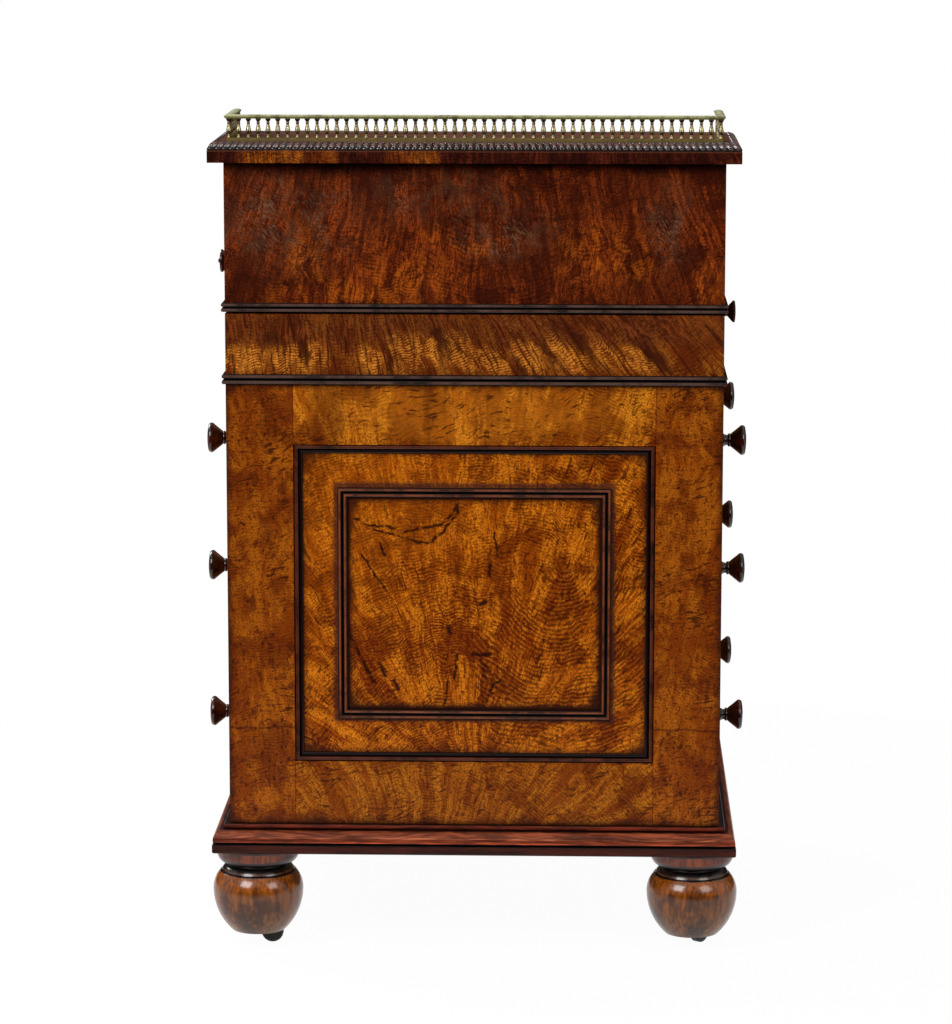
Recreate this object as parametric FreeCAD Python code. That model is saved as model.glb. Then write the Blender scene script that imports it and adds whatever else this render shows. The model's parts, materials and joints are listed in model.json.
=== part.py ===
"""Davenport desk with a sliding top, as an assembly of separate pieces.

The desk faces -Y, so the writer sits on the -Y side and the panelled back faces +Y.
+X is the writer's right, +Z is up, and the origin is the middle of the footprint on the floor.
A panelled pedestal stands on a moulded plinth, four turned bun feet and concealed castors.
Three drawers open to the right, and three dummy drawers match them on the left.
A shallow frieze holds a pull-out slide on each side, and carries the desk box, which slides forward.
The desk box has a hinged writing slope, a pen drawer on the right, two small inner drawers with
pigeonholes over them, and a flat shelf at the back with a turned brass gallery.
All sizes are in millimetres.
"""
import FreeCAD
import Part
import math
import os

V = FreeCAD.Vector
X_AXIS, Y_AXIS, Z_AXIS = V(1, 0, 0), V(0, 1, 0), V(0, 0, 1)
ORIGIN = V(0, 0, 0)

# ---------------------------------------------------------------- driving dimensions
# pedestal case
case_width = 520.0
case_depth = 500.0
frame_thickness = 22.0          # front and back frames
stile_width = 70.0
frame_top_rail = 63.4
frame_bottom_rail = 67.0
tenon_thickness = 8.0
tenon_length = 30.0
tenon_shoulder = 10.0
panel_thickness = 8.0
panel_sink = 6.0                # panel face below the frame face
panel_tongue = 6.0              # panel edge held in the frame's groove
sunk_moulding_width = 9.6
sunk_moulding_height = 5.6
field_inset = 46.0              # frame opening to the planted field moulding
field_moulding_width = 10.2
field_moulding_height = 4.6
# drawers, listed from the top one down
drawer_heights = (112.6, 140.0, 156.6)
board_thickness = 12.0          # pedestal top board, dustboards and bottom board
bottom_rail_height = 25.5
bottom_rail_thickness = 20.0
drawer_front_thickness = 18.0
drawer_side_thickness = 9.0
drawer_bottom_thickness = 6.0
drawer_bottom_rise = 8.0        # underside of the drawer bottom above the drawer's lower edge
drawer_side_drop = 14.0         # drawer sides lower than the opening by this
drawer_back_gap = 14.0          # closed drawer to the dummy side panel
drawer_side_gap = 0.8
drawer_top_gap = 0.8
running_gap = 0.3               # a sliding piece over the surface that carries it
knob_setback = 79.0             # knob axis from the case's front and back faces
stop_size = 12.0
stop_height = 5.0
stop_setback = 60.0
# dummy side
side_panel_thickness = 10.0
dummy_front_thickness = 12.0
# turned knobs
knob_radius = 15.9
knob_reach = 27.2
knob_head = 15.9                # depth of the flared head
knob_dowel_radius = 5.0
knob_dowel_length = 14.0
small_knob_radius = 12.3
small_knob_reach = 23.2
small_knob_head = 9.0
pen_knob_reach = 18.5
tiny_knob_radius = 7.0
tiny_knob_reach = 11.0
tiny_knob_head = 5.5
# plinth, feet and castors
plinth_height = 30.6
plinth_projection = 18.0
plinth_band_height = 9.8
plinth_groove_height = 2.6
plinth_groove_depth = 4.5
plinth_bead_height = 5.6
plinth_toe_radius = 3.0
foot_height = 92.2
foot_clearance = 15.3           # floor to the foot's underside
foot_inset = 27.4               # foot axis from the case's faces
foot_radius = 48.3
foot_widest = 45.0              # height of the widest girth above the underside
foot_base_radius = 29.2
foot_collar_radius = 43.9
foot_collar_height = 9.5
foot_collar_round = 9.8
foot_neck_radius = 32.1
foot_neck_height = 0.8
foot_ring_radius = 38.9
foot_ring_height = 6.3
foot_groove_depth = 1.3
foot_groove_height = 0.9
foot_shoulder_radius = 40.2
foot_dowel_radius = 12.5
foot_dowel_length = 20.0
castor_recess_radius = 27.4
castor_recess_depth = 16.5
wheel_radius = 11.8
wheel_width = 11.0
wheel_round = 2.6
wheel_trail = 15.0
axle_radius = 1.6
fork_cheek = 1.8
fork_side_gap = 0.4
fork_crown_thickness = 2.5
fork_crown_radius = 14.0
swivel_pin_radius = 4.0
swivel_pin_length = 20.0
socket_wall = 2.0
socket_plate_radius = 20.0
socket_plate_thickness = 1.5
running_fit = 0.05              # radial clearance of a pin in its bore
dowel_fit = 0.1                 # radial clearance of a glued dowel
# frieze with the two slides
frieze_height = 74.0
frieze_board = 14.0
waist_moulding_height = 10.7
waist_moulding_projection = 3.8
deck_thickness = 12.0
slide_thickness = 18.0
slide_width = 240.0
slide_setback = 190.0           # middle of the slides from the case's front face
slide_end_room = 18.0           # closed slide to the stop bar between the two
slide_groove = 6.0              # slide edge inside its grooved guide
slide_guide_width = 16.0
slide_stop_width = 12.0
slide_gap = 0.4
# desk box
top_gap = 2.0                   # shadow gap under the sliding desk box
box_back_height = 156.1
box_wall = 12.0
box_moulding_height = 9.5
box_moulding_projection = 3.8
box_bottom_thickness = 8.0
box_bottom_rise = 3.0
batten_spacing = 300.0
batten_web = 12.0
batten_flange = 34.0
batten_flange_thickness = 7.5
batten_side_gap = 0.75
box_travel = 200.0
end_gap = 0.5
shelf_thickness = 21.3
shelf_fascia = 12.4
shelf_edge_slope = 12.0         # width of the sloped edge band that is carved
shelf_overhang = 15.7
shelf_depth = 169.7             # shelf's back edge to the hinge line of the writing slope
slope_angle = 16.0
# pen drawer
pen_drawer_setback = 145.0      # middle of the pen drawer from the case's back face
pen_drawer_width = 134.0
pen_drawer_height = 54.0
pen_drawer_length = 300.0
pen_front_thickness = 12.0
pen_tray_wall = 6.0
pen_tray_drop = 4.0             # tray lower than its front
ink_well_length = 52.0
# inner case
inner_board = 6.0
inner_front_board = 7.6
inner_drawer_height = 34.0
inner_drawer_depth = 150.0
inner_front_thickness = 8.0
inner_side_thickness = 5.0
inner_side_drop = 4.0           # small drawers' sides lower than their fronts
pigeonhole_count = 4
pigeonhole_board = 4.0
pigeonhole_setback = 4.0        # pigeonholes behind the hinge line
# lid
lid_gap = 0.3
lid_side_overhang = 4.0         # lid past the desk box at each side
lid_front_overhang = 11.0
leather_thickness = 1.2
leather_margin = 36.0
ledge_width = 7.0
ledge_height = 6.0
ledge_setback = 16.0
ledge_length = 440.0
# brass butt hinges of the lid
hinge_offset = 170.0
hinge_length = 50.0
hinge_leaf = 1.5
hinge_leaf_height = 14.0
hinge_barrel_radius = 2.4
hinge_pin_radius = 1.2
hinge_axis_drop = 1.9           # hinge line below the shelf's top
hinge_quirk_width = 2.0         # rebate in the shelf's edge that the lid's corner turns in
hinge_quirk_depth = 1.8
hinge_knuckle_gap = 0.2
# box lock
lock_width = 46.0
lock_height = 30.0
lock_thickness = 4.0
lock_drop = 3.0                 # lock case below the lid
escutcheon_radius = 7.0
escutcheon_thickness = 1.2
keyhole_radius = 2.2
keyhole_slot = 6.0
# brass gallery
gallery_side_inset = 19.1       # outer face of the gallery from the shelf's fascia
gallery_rear_inset = 17.5
gallery_return = 98.0           # length of each side return
gallery_rail_width = 4.6
gallery_top_rail_width = 9.2
gallery_bottom_rail_height = 3.1
gallery_top_rail_height = 4.1
gallery_height = 27.3
gallery_pitch = 10.1
gallery_scroll_length = 14.0
gallery_scroll_thickness = 5.0
baluster_foot_radius = 2.2
baluster_ankle_radius = 1.2
baluster_belly_radius = 2.7
baluster_neck_radius = 1.4
baluster_ring_radius = 1.75
baluster_head_radius = 2.7

# ---------------------------------------------------------------- derived levels and planes
half_width = case_width / 2
half_depth = case_depth / 2
foot_top = foot_clearance + foot_height
pedestal_bottom = foot_top + plinth_height
pedestal_height = bottom_rail_height + sum(drawer_heights) + board_thickness * len(drawer_heights)
pedestal_top = pedestal_bottom + pedestal_height
frieze_top = pedestal_top + frieze_height
box_base = frieze_top + top_gap
shelf_under = box_base + box_back_height
shelf_top = shelf_under + shelf_thickness
shelf_half_width = half_width + shelf_overhang
shelf_rear_y = half_depth + shelf_overhang
shelf_front_y = shelf_rear_y - shelf_depth
inner_depth = half_depth - frame_thickness      # half of the opening between the frames
side_panel_inner_x = -half_width + dummy_front_thickness + side_panel_thickness
slope_rad = math.radians(slope_angle)
slope_drop = math.tan(slope_rad)
box_floor = box_base + box_bottom_rise + box_bottom_thickness
box_inner_x = half_width - box_wall
box_inner_y = half_depth - box_wall
lid_half_width = half_width + lid_side_overhang
lid_front_y = -half_depth - lid_front_overhang


def lid_under(y):
    """Height of the closed lid's underside over a line at y."""
    return shelf_under - (shelf_front_y - y) * slope_drop


def lid_over(y):
    """Height of the closed lid's top face over a line at y."""
    return shelf_top - (shelf_front_y - y) * slope_drop


# ---------------------------------------------------------------- shape helpers
def box(x0, x1, y0, y1, z0, z1):
    return Part.makeBox(x1 - x0, y1 - y0, z1 - z0, V(x0, y0, z0))


def rod(radius, length, base, axis):
    return Part.makeCylinder(radius, length, base, axis)


def group(solids):
    return Part.makeCompound(list(solids))


def turn_about_z(shape, degrees):
    turned_shape = shape.copy()
    turned_shape.rotate(ORIGIN, Z_AXIS, degrees)
    return turned_shape


def shifted(shape, x=0.0, y=0.0, z=0.0):
    moved = shape.copy()
    moved.translate(V(x, y, z))
    return moved


def outline(plane, start, *steps):
    """Closed face from a start point and steps: a point is a line, a pair of points is an arc via, to."""
    edges = []
    here = plane(*start)
    for step in steps:
        if isinstance(step[0], tuple):
            via, there = plane(*step[0]), plane(*step[1])
            edges.append(Part.Arc(here, via, there).toShape())
        else:
            there = plane(*step)
            edges.append(Part.LineSegment(here, there).toShape())
        here = there
    edges.append(Part.LineSegment(here, plane(*start)).toShape())
    return Part.Face(Part.Wire(edges))


def across_x(y, z):
    return V(0, y, z)


def across_y(x, z):
    return V(x, 0, z)


def turned(start, *steps):
    """Solid turned about the Z axis from an outline of (radius, height) points."""
    return outline(across_y, start, *steps).revolve(ORIGIN, Z_AXIS, 360)


def arc_from_widest(wide_r, wide_z, end_r, end_z):
    """Middle point of the arc that leaves (wide_r, wide_z) upright and ends at (end_r, end_z)."""
    dr, dz = wide_r - end_r, end_z - wide_z
    radius = (dr * dr + dz * dz) / (2 * dr)
    half_angle = math.asin(dz / radius) / 2
    return (wide_r - radius + radius * math.cos(half_angle), wide_z + radius * math.sin(half_angle))


def dome_middle(rim_r, rim_z, top_z):
    """Point halfway in on a low dome that rises from (rim_r, rim_z) to top_z on the turning axis."""
    rise = top_z - rim_z
    sphere = (rim_r * rim_r + rise * rise) / (2 * rise)
    return (rim_r / 2, top_z - sphere + math.sqrt(sphere * sphere - rim_r * rim_r / 4))


def moulding_run(section, length, reach, mitre_start, mitre_end):
    """Moulding along +X from 0 to length, standing out to +Y, mitred where asked."""
    tall = 1000.0
    bar = section.extrude(V(length + 2 * reach, 0, 0))
    bar.translate(V(-reach, 0, 0))
    plan = Part.makePolygon([
        V(0, 0, -tall),
        V(length, 0, -tall),
        V(length + reach * mitre_end, reach, -tall),
        V(-reach * mitre_start, reach, -tall),
        V(0, 0, -tall),
    ])
    return bar.common(Part.Face(plan).extrude(V(0, 0, 2 * tall)))


def placed_run(section, start, heading, length, reach, mitre_start=1, mitre_end=1):
    """Moulding run that starts at a plan point and heads at an angle; it stands out on its left."""
    run = moulding_run(section, length, reach, mitre_start, mitre_end)
    run.rotate(ORIGIN, Z_AXIS, heading)
    run.translate(V(start[0], start[1], 0))
    return run


def moulding_around(section, half_x, half_y, reach):
    """Four mitred lengths round a rectangle, each standing outwards."""
    return [
        placed_run(section, (-half_x, half_y), 0, 2 * half_x, reach),
        placed_run(section, (half_x, half_y), -90, 2 * half_y, reach),
        placed_run(section, (half_x, -half_y), 180, 2 * half_x, reach),
        placed_run(section, (-half_x, -half_y), 90, 2 * half_y, reach),
    ]


def double_bead(height, projection, z0):
    """Section of two half-round beads one over the other, standing out to +Y."""
    groove = 0.12 * height
    bead = (height - groove) / 2
    shoulder = projection - bead / 2
    middle = z0 + bead + groove
    return outline(
        across_x,
        (0, z0),
        (shoulder, z0),
        ((projection, z0 + bead / 2), (shoulder, z0 + bead)),
        (shoulder / 2, z0 + bead),
        (shoulder / 2, middle),
        (shoulder, middle),
        ((projection, middle + bead / 2), (shoulder, middle + bead)),
        (0, z0 + height),
    )


# ---------------------------------------------------------------- knobs
def knob(radius, reach, head, boss=False):
    """Turned knob standing on z=0 towards +Z, with its glued dowel below; one centre boss if asked."""
    neck = 0.35 * radius
    shoulder = reach - head
    rim = (0.86 * radius, reach - 0.08 * head)
    start = (0, -knob_dowel_length)
    steps = [
        (knob_dowel_radius, -knob_dowel_length),
        (knob_dowel_radius, 0),
        (0.6 * radius, 0),
        (0.6 * radius, 0.08 * shoulder),
        ((0.42 * radius, 0.3 * shoulder), (neck, 0.5 * shoulder)),
        (neck, 0.66 * shoulder),
        ((0.45 * radius, 0.8 * shoulder), (0.41 * radius, 0.93 * shoulder)),
        (0.47 * radius, shoulder),
        (0.92 * radius, reach - 0.44 * head),
        ((radius, reach - 0.26 * head), rim),
    ]
    if boss:
        steps += [
            (0.2 * radius, reach),
            (0.2 * radius, 1.05 * reach),
            (0.1 * radius, 1.09 * reach),
            (0, 1.09 * reach),
        ]
    else:
        steps += [(dome_middle(*rim, reach), (0, reach))]
    return turned(start, *steps)


def facing(shape, side):
    """A shape built up +Z, turned to stand out along the +X side or the -X side."""
    turned_shape = shape.copy()
    turned_shape.rotate(ORIGIN, Y_AXIS, 90 * side)
    return turned_shape


def side_knob(side, y, z, radius, reach, head, boss=False, face_x=half_width):
    return shifted(facing(knob(radius, reach, head, boss), side), side * face_x, y, z)


def dowel_hole(side, y, z, face_x=half_width):
    """Hole that takes a knob's dowel, drilled into a side face."""
    drill = rod(knob_dowel_radius + dowel_fit, knob_dowel_length + dowel_fit, ORIGIN, V(-side, 0, 0))
    return shifted(drill, side * face_x, y, z)


# ---------------------------------------------------------------- plinth and feet
def plinth_section():
    """Lower band, groove, thumb mould and bead, from the feet up to the pedestal."""
    top, low, reach = pedestal_bottom, foot_top, plinth_projection
    groove = low + plinth_band_height
    thumb = groove + plinth_groove_height
    bead = top - plinth_bead_height
    toe = plinth_toe_radius
    nose, inner, root = reach - 1.0, 0.42 * reach, 0.24 * reach
    return outline(
        across_x,
        (0, low),
        (reach - toe, low),
        ((reach - 0.293 * toe, low + 0.293 * toe), (reach, low + toe)),
        (reach, groove - 0.8),
        (reach - 0.8, groove),
        (reach - plinth_groove_depth, groove),
        (reach - plinth_groove_depth, thumb),
        (nose, thumb),
        ((inner + 0.75 * (nose - inner), thumb + 0.72 * (bead - thumb)), (inner, bead)),
        (root, bead),
        ((root + 0.42 * plinth_bead_height, bead + 0.5 * plinth_bead_height), (root, top)),
        (0, top),
    )


foot_places = {
    "rear_left": (-half_width + foot_inset, half_depth - foot_inset),
    "rear_right": (half_width - foot_inset, half_depth - foot_inset),
    "front_left": (-half_width + foot_inset, -half_depth + foot_inset),
    "front_right": (half_width - foot_inset, -half_depth + foot_inset),
}
castor_ceiling = foot_clearance + castor_recess_depth
socket_outer = swivel_pin_radius + running_fit + socket_wall
socket_top = castor_ceiling + swivel_pin_length + 2 * socket_wall


def bun_foot():
    """Turned foot on the Z axis: dowel, collar, neck ring, bun, and the castor's recess and bore."""
    base, top = foot_clearance, foot_top
    collar_low = top - foot_collar_height
    neck = collar_low - foot_collar_round
    ring_top = neck - foot_neck_height
    ring_low = ring_top - foot_ring_height
    ring_step = foot_ring_radius - foot_neck_radius
    collar_step = foot_collar_radius - foot_neck_radius
    collar_via = (foot_collar_radius - 0.25 * collar_step, collar_low - 0.56 * foot_collar_round)
    ring_via = (foot_neck_radius + 0.72 * ring_step, ring_top - 0.48 * foot_ring_height)
    groove_r = foot_ring_radius - foot_groove_depth
    shoulder = ring_low - foot_groove_height
    wide = base + foot_widest
    bore = socket_outer + dowel_fit
    plate = socket_plate_radius + dowel_fit
    return turned(
        (0, top + foot_dowel_length),
        (foot_dowel_radius, top + foot_dowel_length),
        (foot_dowel_radius, top),
        (foot_collar_radius, top),
        (foot_collar_radius, collar_low),
        (collar_via, (foot_neck_radius, neck)),
        (foot_neck_radius, ring_top),
        (foot_neck_radius + 0.13 * ring_step, ring_top),
        (ring_via, (foot_ring_radius, ring_low)),
        (groove_r, ring_low),
        (groove_r, shoulder),
        (foot_shoulder_radius, shoulder),
        (arc_from_widest(foot_radius, wide, foot_shoulder_radius, shoulder), (foot_radius, wide)),
        (arc_from_widest(foot_radius, wide, foot_base_radius, base), (foot_base_radius, base)),
        (castor_recess_radius, base),
        (castor_recess_radius, castor_ceiling),
        (plate, castor_ceiling),
        (plate, castor_ceiling + socket_plate_thickness),
        (bore, castor_ceiling + socket_plate_thickness),
        (bore, socket_top),
        (0, socket_top),
    )


def castor_socket():
    """Brass tube with a face plate, let into the foot over the castor's recess."""
    pin_bore = swivel_pin_radius + running_fit
    return turned(
        (pin_bore, castor_ceiling),
        (socket_plate_radius, castor_ceiling),
        (socket_plate_radius, castor_ceiling + socket_plate_thickness),
        (socket_outer, castor_ceiling + socket_plate_thickness),
        (socket_outer, socket_top),
        (0, socket_top),
        (0, socket_top - socket_wall),
        (pin_bore, socket_top - socket_wall),
    )


def castor_fork():
    """Crown, swivel pin and two cheeks, trailing towards +X, with the riveted axle as a second solid."""
    crown_top = castor_ceiling - running_gap
    crown_low = crown_top - fork_crown_thickness
    crown = rod(fork_crown_radius, fork_crown_thickness, V(0, 0, crown_low), Z_AXIS)
    pin = rod(swivel_pin_radius, swivel_pin_length + running_gap, V(0, 0, crown_top), Z_AXIS)
    inner = wheel_width / 2 + fork_side_gap
    outer = inner + fork_cheek
    eye = 2.3 * axle_radius
    back = -0.45 * fork_crown_radius
    cheek = outline(
        across_y,
        (back, crown_low),
        (back, crown_low - 2.0),
        (wheel_trail - eye, wheel_radius),
        ((wheel_trail, wheel_radius - eye), (wheel_trail + eye, wheel_radius)),
        (0.8 * fork_crown_radius, crown_low),
    ).extrude(V(0, fork_cheek, 0))
    axle = rod(axle_radius, 2 * outer, V(wheel_trail, -outer, wheel_radius), Y_AXIS)
    cheeks = [shifted(cheek, 0, inner), shifted(cheek, 0, -outer)]
    fork = crown.fuse([pin] + cheeks).removeSplitter().cut(axle)
    return group([fork, axle])


def castor_wheel():
    """Barrel wheel with rounded edges and a running bore, on the axle."""
    bore = axle_radius + running_fit
    edge = wheel_radius - wheel_round
    half = wheel_width / 2
    side = half - wheel_round
    soft = wheel_round * 0.3
    wheel = turned(
        (bore, -half),
        (edge, -half),
        ((wheel_radius - soft, -half + soft), (wheel_radius, -side)),
        (wheel_radius, side),
        ((wheel_radius - soft, half - soft), (edge, half)),
        (bore, half),
    )
    wheel.rotate(ORIGIN, X_AXIS, 90)
    wheel.translate(V(wheel_trail, 0, wheel_radius))
    return wheel


castor_headings = {"rear_left": 233.0, "rear_right": 180.0, "front_left": 200.0, "front_right": 150.0}


def build_plinth(parts):
    board = box(-half_width, half_width, -half_depth, half_depth, foot_top, pedestal_bottom)
    drill = rod(foot_dowel_radius + dowel_fit, foot_dowel_length + dowel_fit, V(0, 0, foot_top), Z_AXIS)
    foot, socket = bun_foot(), castor_socket()
    board = board.cut([shifted(drill, x, y) for x, y in foot_places.values()])
    parts["plinth_board"] = board
    parts["plinth_moulding"] = group(
        moulding_around(plinth_section(), half_width, half_depth, plinth_projection + 1))
    parts["bun_feet"] = group(shifted(foot, x, y) for x, y in foot_places.values())
    parts["castor_sockets"] = group(shifted(socket, x, y) for x, y in foot_places.values())
    for corner, (x, y) in foot_places.items():
        heading = castor_headings[corner]
        parts["castor_fork_" + corner] = shifted(turn_about_z(castor_fork(), heading), x, y)
        parts["castor_wheel_" + corner] = shifted(turn_about_z(castor_wheel(), heading), x, y)


# ---------------------------------------------------------------- panelled front and back
opening_half_width = half_width - stile_width
opening_low = pedestal_bottom + frame_bottom_rail
opening_high = pedestal_top - frame_top_rail
opening_mid = (opening_low + opening_high) / 2
opening_half_height = (opening_high - opening_low) / 2
panel_face_y = half_depth - panel_sink


def frame_and_panel():
    """Back frame of two stiles and two tenoned rails, and the panel in its groove."""
    y0, y1 = half_depth - frame_thickness, half_depth
    groove = panel_tongue + dowel_fit
    wide, tall = opening_half_width + panel_tongue, opening_half_height + panel_tongue
    panel = box(-wide, wide, panel_face_y - panel_thickness, panel_face_y,
                opening_mid - tall, opening_mid + tall)
    slot = box(
        -opening_half_width - groove, opening_half_width + groove,
        panel_face_y - panel_thickness, panel_face_y,
        opening_low - groove, opening_high + groove)
    tenon_y0 = panel_face_y - panel_thickness
    rails, mortises = [], []
    reach = opening_half_width + tenon_length
    for low, high in ((pedestal_bottom, opening_low), (opening_high, pedestal_top)):
        rail = box(-opening_half_width, opening_half_width, y0, y1, low, high)
        tenon = box(-reach, reach, tenon_y0, tenon_y0 + tenon_thickness,
                    low + tenon_shoulder, high - tenon_shoulder)
        rails.append(rail.cut(slot).fuse(tenon).removeSplitter())
        mortises.append(tenon)
    stiles = []
    for side in (-1, 1):
        edges = sorted((side * opening_half_width, side * half_width))
        stile = box(edges[0], edges[1], y0, y1, pedestal_bottom, pedestal_top)
        stiles.append(stile.cut([slot] + mortises))
    return stiles + rails, panel


def sunk_section():
    """Low inner bead and high outer bead, from the panel's face up towards the frame's face."""
    w, h = sunk_moulding_width, sunk_moulding_height
    return outline(
        across_x,
        (0, 0),
        (0, 0.18 * h),
        ((0.21 * w, 0.5 * h), (0.42 * w, 0.22 * h)),
        (0.48 * w, 0.6 * h),
        ((0.7 * w, h), (0.92 * w, 0.66 * h)),
        (w, 0.66 * h),
        (w, 0),
    )


def field_section():
    """Two beads side by side with a groove between, planted on the panel."""
    w, h = field_moulding_width, field_moulding_height
    shoulder = 0.45 * h
    return outline(
        across_x,
        (0, 0),
        (0, shoulder),
        ((0.22 * w, h), (0.44 * w, shoulder)),
        (0.44 * w, 0.3 * h),
        (0.56 * w, 0.3 * h),
        (0.56 * w, shoulder),
        ((0.78 * w, h), (w, shoulder)),
        (w, 0),
    )


def stood_up(shape):
    """A moulding frame built flat, stood up on the back panel's face."""
    up = shape.copy()
    up.rotate(ORIGIN, X_AXIS, -90)
    up.translate(V(0, panel_face_y, opening_mid))
    return up


def panel_mouldings():
    sunk_x = opening_half_width - sunk_moulding_width
    sunk_z = opening_half_height - sunk_moulding_width
    field_x = opening_half_width - field_inset - field_moulding_width
    field_z = opening_half_height - field_inset - field_moulding_width
    sunk = moulding_around(sunk_section(), sunk_x, sunk_z, sunk_moulding_width)
    field = moulding_around(field_section(), field_x, field_z, field_moulding_width)
    return [stood_up(run) for run in sunk], [stood_up(run) for run in field]


def build_panelled_ends(parts):
    frame, panel = frame_and_panel()
    sunk, field = panel_mouldings()
    parts["back_frame"] = group(frame)
    parts["back_panel"] = panel
    parts["back_sunk_moulding"] = group(sunk)
    parts["back_field_moulding"] = group(field)
    parts["front_frame"] = group(turn_about_z(piece, 180) for piece in frame)
    parts["front_panel"] = turn_about_z(panel, 180)
    parts["front_mouldings"] = group(turn_about_z(piece, 180) for piece in sunk + field)


# ---------------------------------------------------------------- pedestal carcase and drawers
def drawer_levels():
    """Lower and upper level of each drawer opening, from the top one down."""
    levels = []
    high = pedestal_top - board_thickness
    for height in drawer_heights:
        levels.append((high - height, high))
        high -= height + board_thickness
    return levels


knob_ys = (half_depth - knob_setback, -half_depth + knob_setback)
drawer_back_x = side_panel_inner_x + drawer_back_gap


def build_carcase(parts):
    y0, y1 = -inner_depth, inner_depth
    levels = drawer_levels()
    rail_x = half_width - bottom_rail_thickness
    boards = [box(side_panel_inner_x, half_width, y0, y1, pedestal_top - board_thickness, pedestal_top)]
    for low, high in levels[:-1]:
        boards.append(box(side_panel_inner_x, half_width, y0, y1, low - board_thickness, low))
    floor = levels[-1][0]
    boards.append(box(side_panel_inner_x, rail_x, y0, y1, floor - board_thickness, floor))
    boards.append(box(rail_x, half_width, y0, y1, pedestal_bottom, floor))
    stop_x = half_width - drawer_front_thickness - running_gap
    stops = []
    half_stop = stop_size / 2
    for low, high in levels:
        for y in (stop_setback - inner_depth, inner_depth - stop_setback):
            stops.append(box(stop_x - stop_size, stop_x, y - half_stop, y + half_stop,
                             low, low + stop_height))
    parts["pedestal_boards"] = group(boards + stops)

    # the left side: one panel, four facing strips and three dummy fronts with their knobs
    outer, face = -half_width, -half_width + dummy_front_thickness
    strips = [box(face, side_panel_inner_x, y0, y1, pedestal_bottom, pedestal_top)]
    fronts, knobs = [], []
    strip_high = pedestal_top
    for low, high in levels:
        strips.append(box(outer, face, y0, y1, high, strip_high))
        strip_high = low
        front = box(outer, face, y0 + drawer_side_gap, y1 - drawer_side_gap,
                    low + drawer_side_gap, high - drawer_top_gap)
        for y in knob_ys:
            z = (low + high) / 2
            hole = dowel_hole(-1, y, z)
            front = front.cut(hole)
            strips[0] = strips[0].cut(hole)
            knobs.append(side_knob(-1, y, z, knob_radius, knob_reach, knob_head))
        fronts.append(front)
    strips.append(box(outer, face, y0, y1, pedestal_bottom, strip_high))
    parts["dummy_side"] = group(strips)
    parts["dummy_drawer_fronts"] = group(fronts)
    parts["dummy_drawer_knobs"] = group(knobs)


def build_drawers(parts):
    inside = half_width - drawer_front_thickness
    side_y = inner_depth - drawer_side_gap
    for number, (low, high) in enumerate(drawer_levels(), start=1):
        base = low + running_gap
        name = "drawer_%d_" % number
        mid = (low + high) / 2
        front = box(inside, half_width, -side_y, side_y, base, high - drawer_top_gap)
        front = front.cut([dowel_hole(1, y, mid) for y in knob_ys])
        top = high - drawer_side_drop
        wall = drawer_side_thickness
        floor = base + drawer_bottom_rise
        sides = [box(drawer_back_x, inside, -side_y, -side_y + wall, base, top),
                 box(drawer_back_x, inside, side_y - wall, side_y, base, top)]
        bottom = box(drawer_back_x, inside, -side_y + wall, side_y - wall,
                     floor, floor + drawer_bottom_thickness)
        back = box(drawer_back_x, drawer_back_x + wall, -side_y + wall, side_y - wall,
                   floor + drawer_bottom_thickness, top)
        parts[name + "front"] = front
        parts[name + "box"] = group(sides + [back, bottom])
        parts[name + "knobs"] = group(
            side_knob(1, y, mid, knob_radius, knob_reach, knob_head) for y in knob_ys)


# ---------------------------------------------------------------- frieze, slides and deck
slide_mid = pedestal_top + waist_moulding_height + (frieze_height - waist_moulding_height) / 2
slide_low = slide_mid - slide_thickness / 2
slide_high = slide_mid + slide_thickness / 2
deck_under = frieze_top - deck_thickness
slide_centre_y = -half_depth + slide_setback
slide_length = half_width - slide_stop_width / 2 - slide_end_room
slide_y0 = slide_centre_y - slide_width / 2
slide_y1 = slide_centre_y + slide_width / 2
frieze_inner_x = half_width - frieze_board
frieze_inner_y = half_depth - frieze_board


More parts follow.
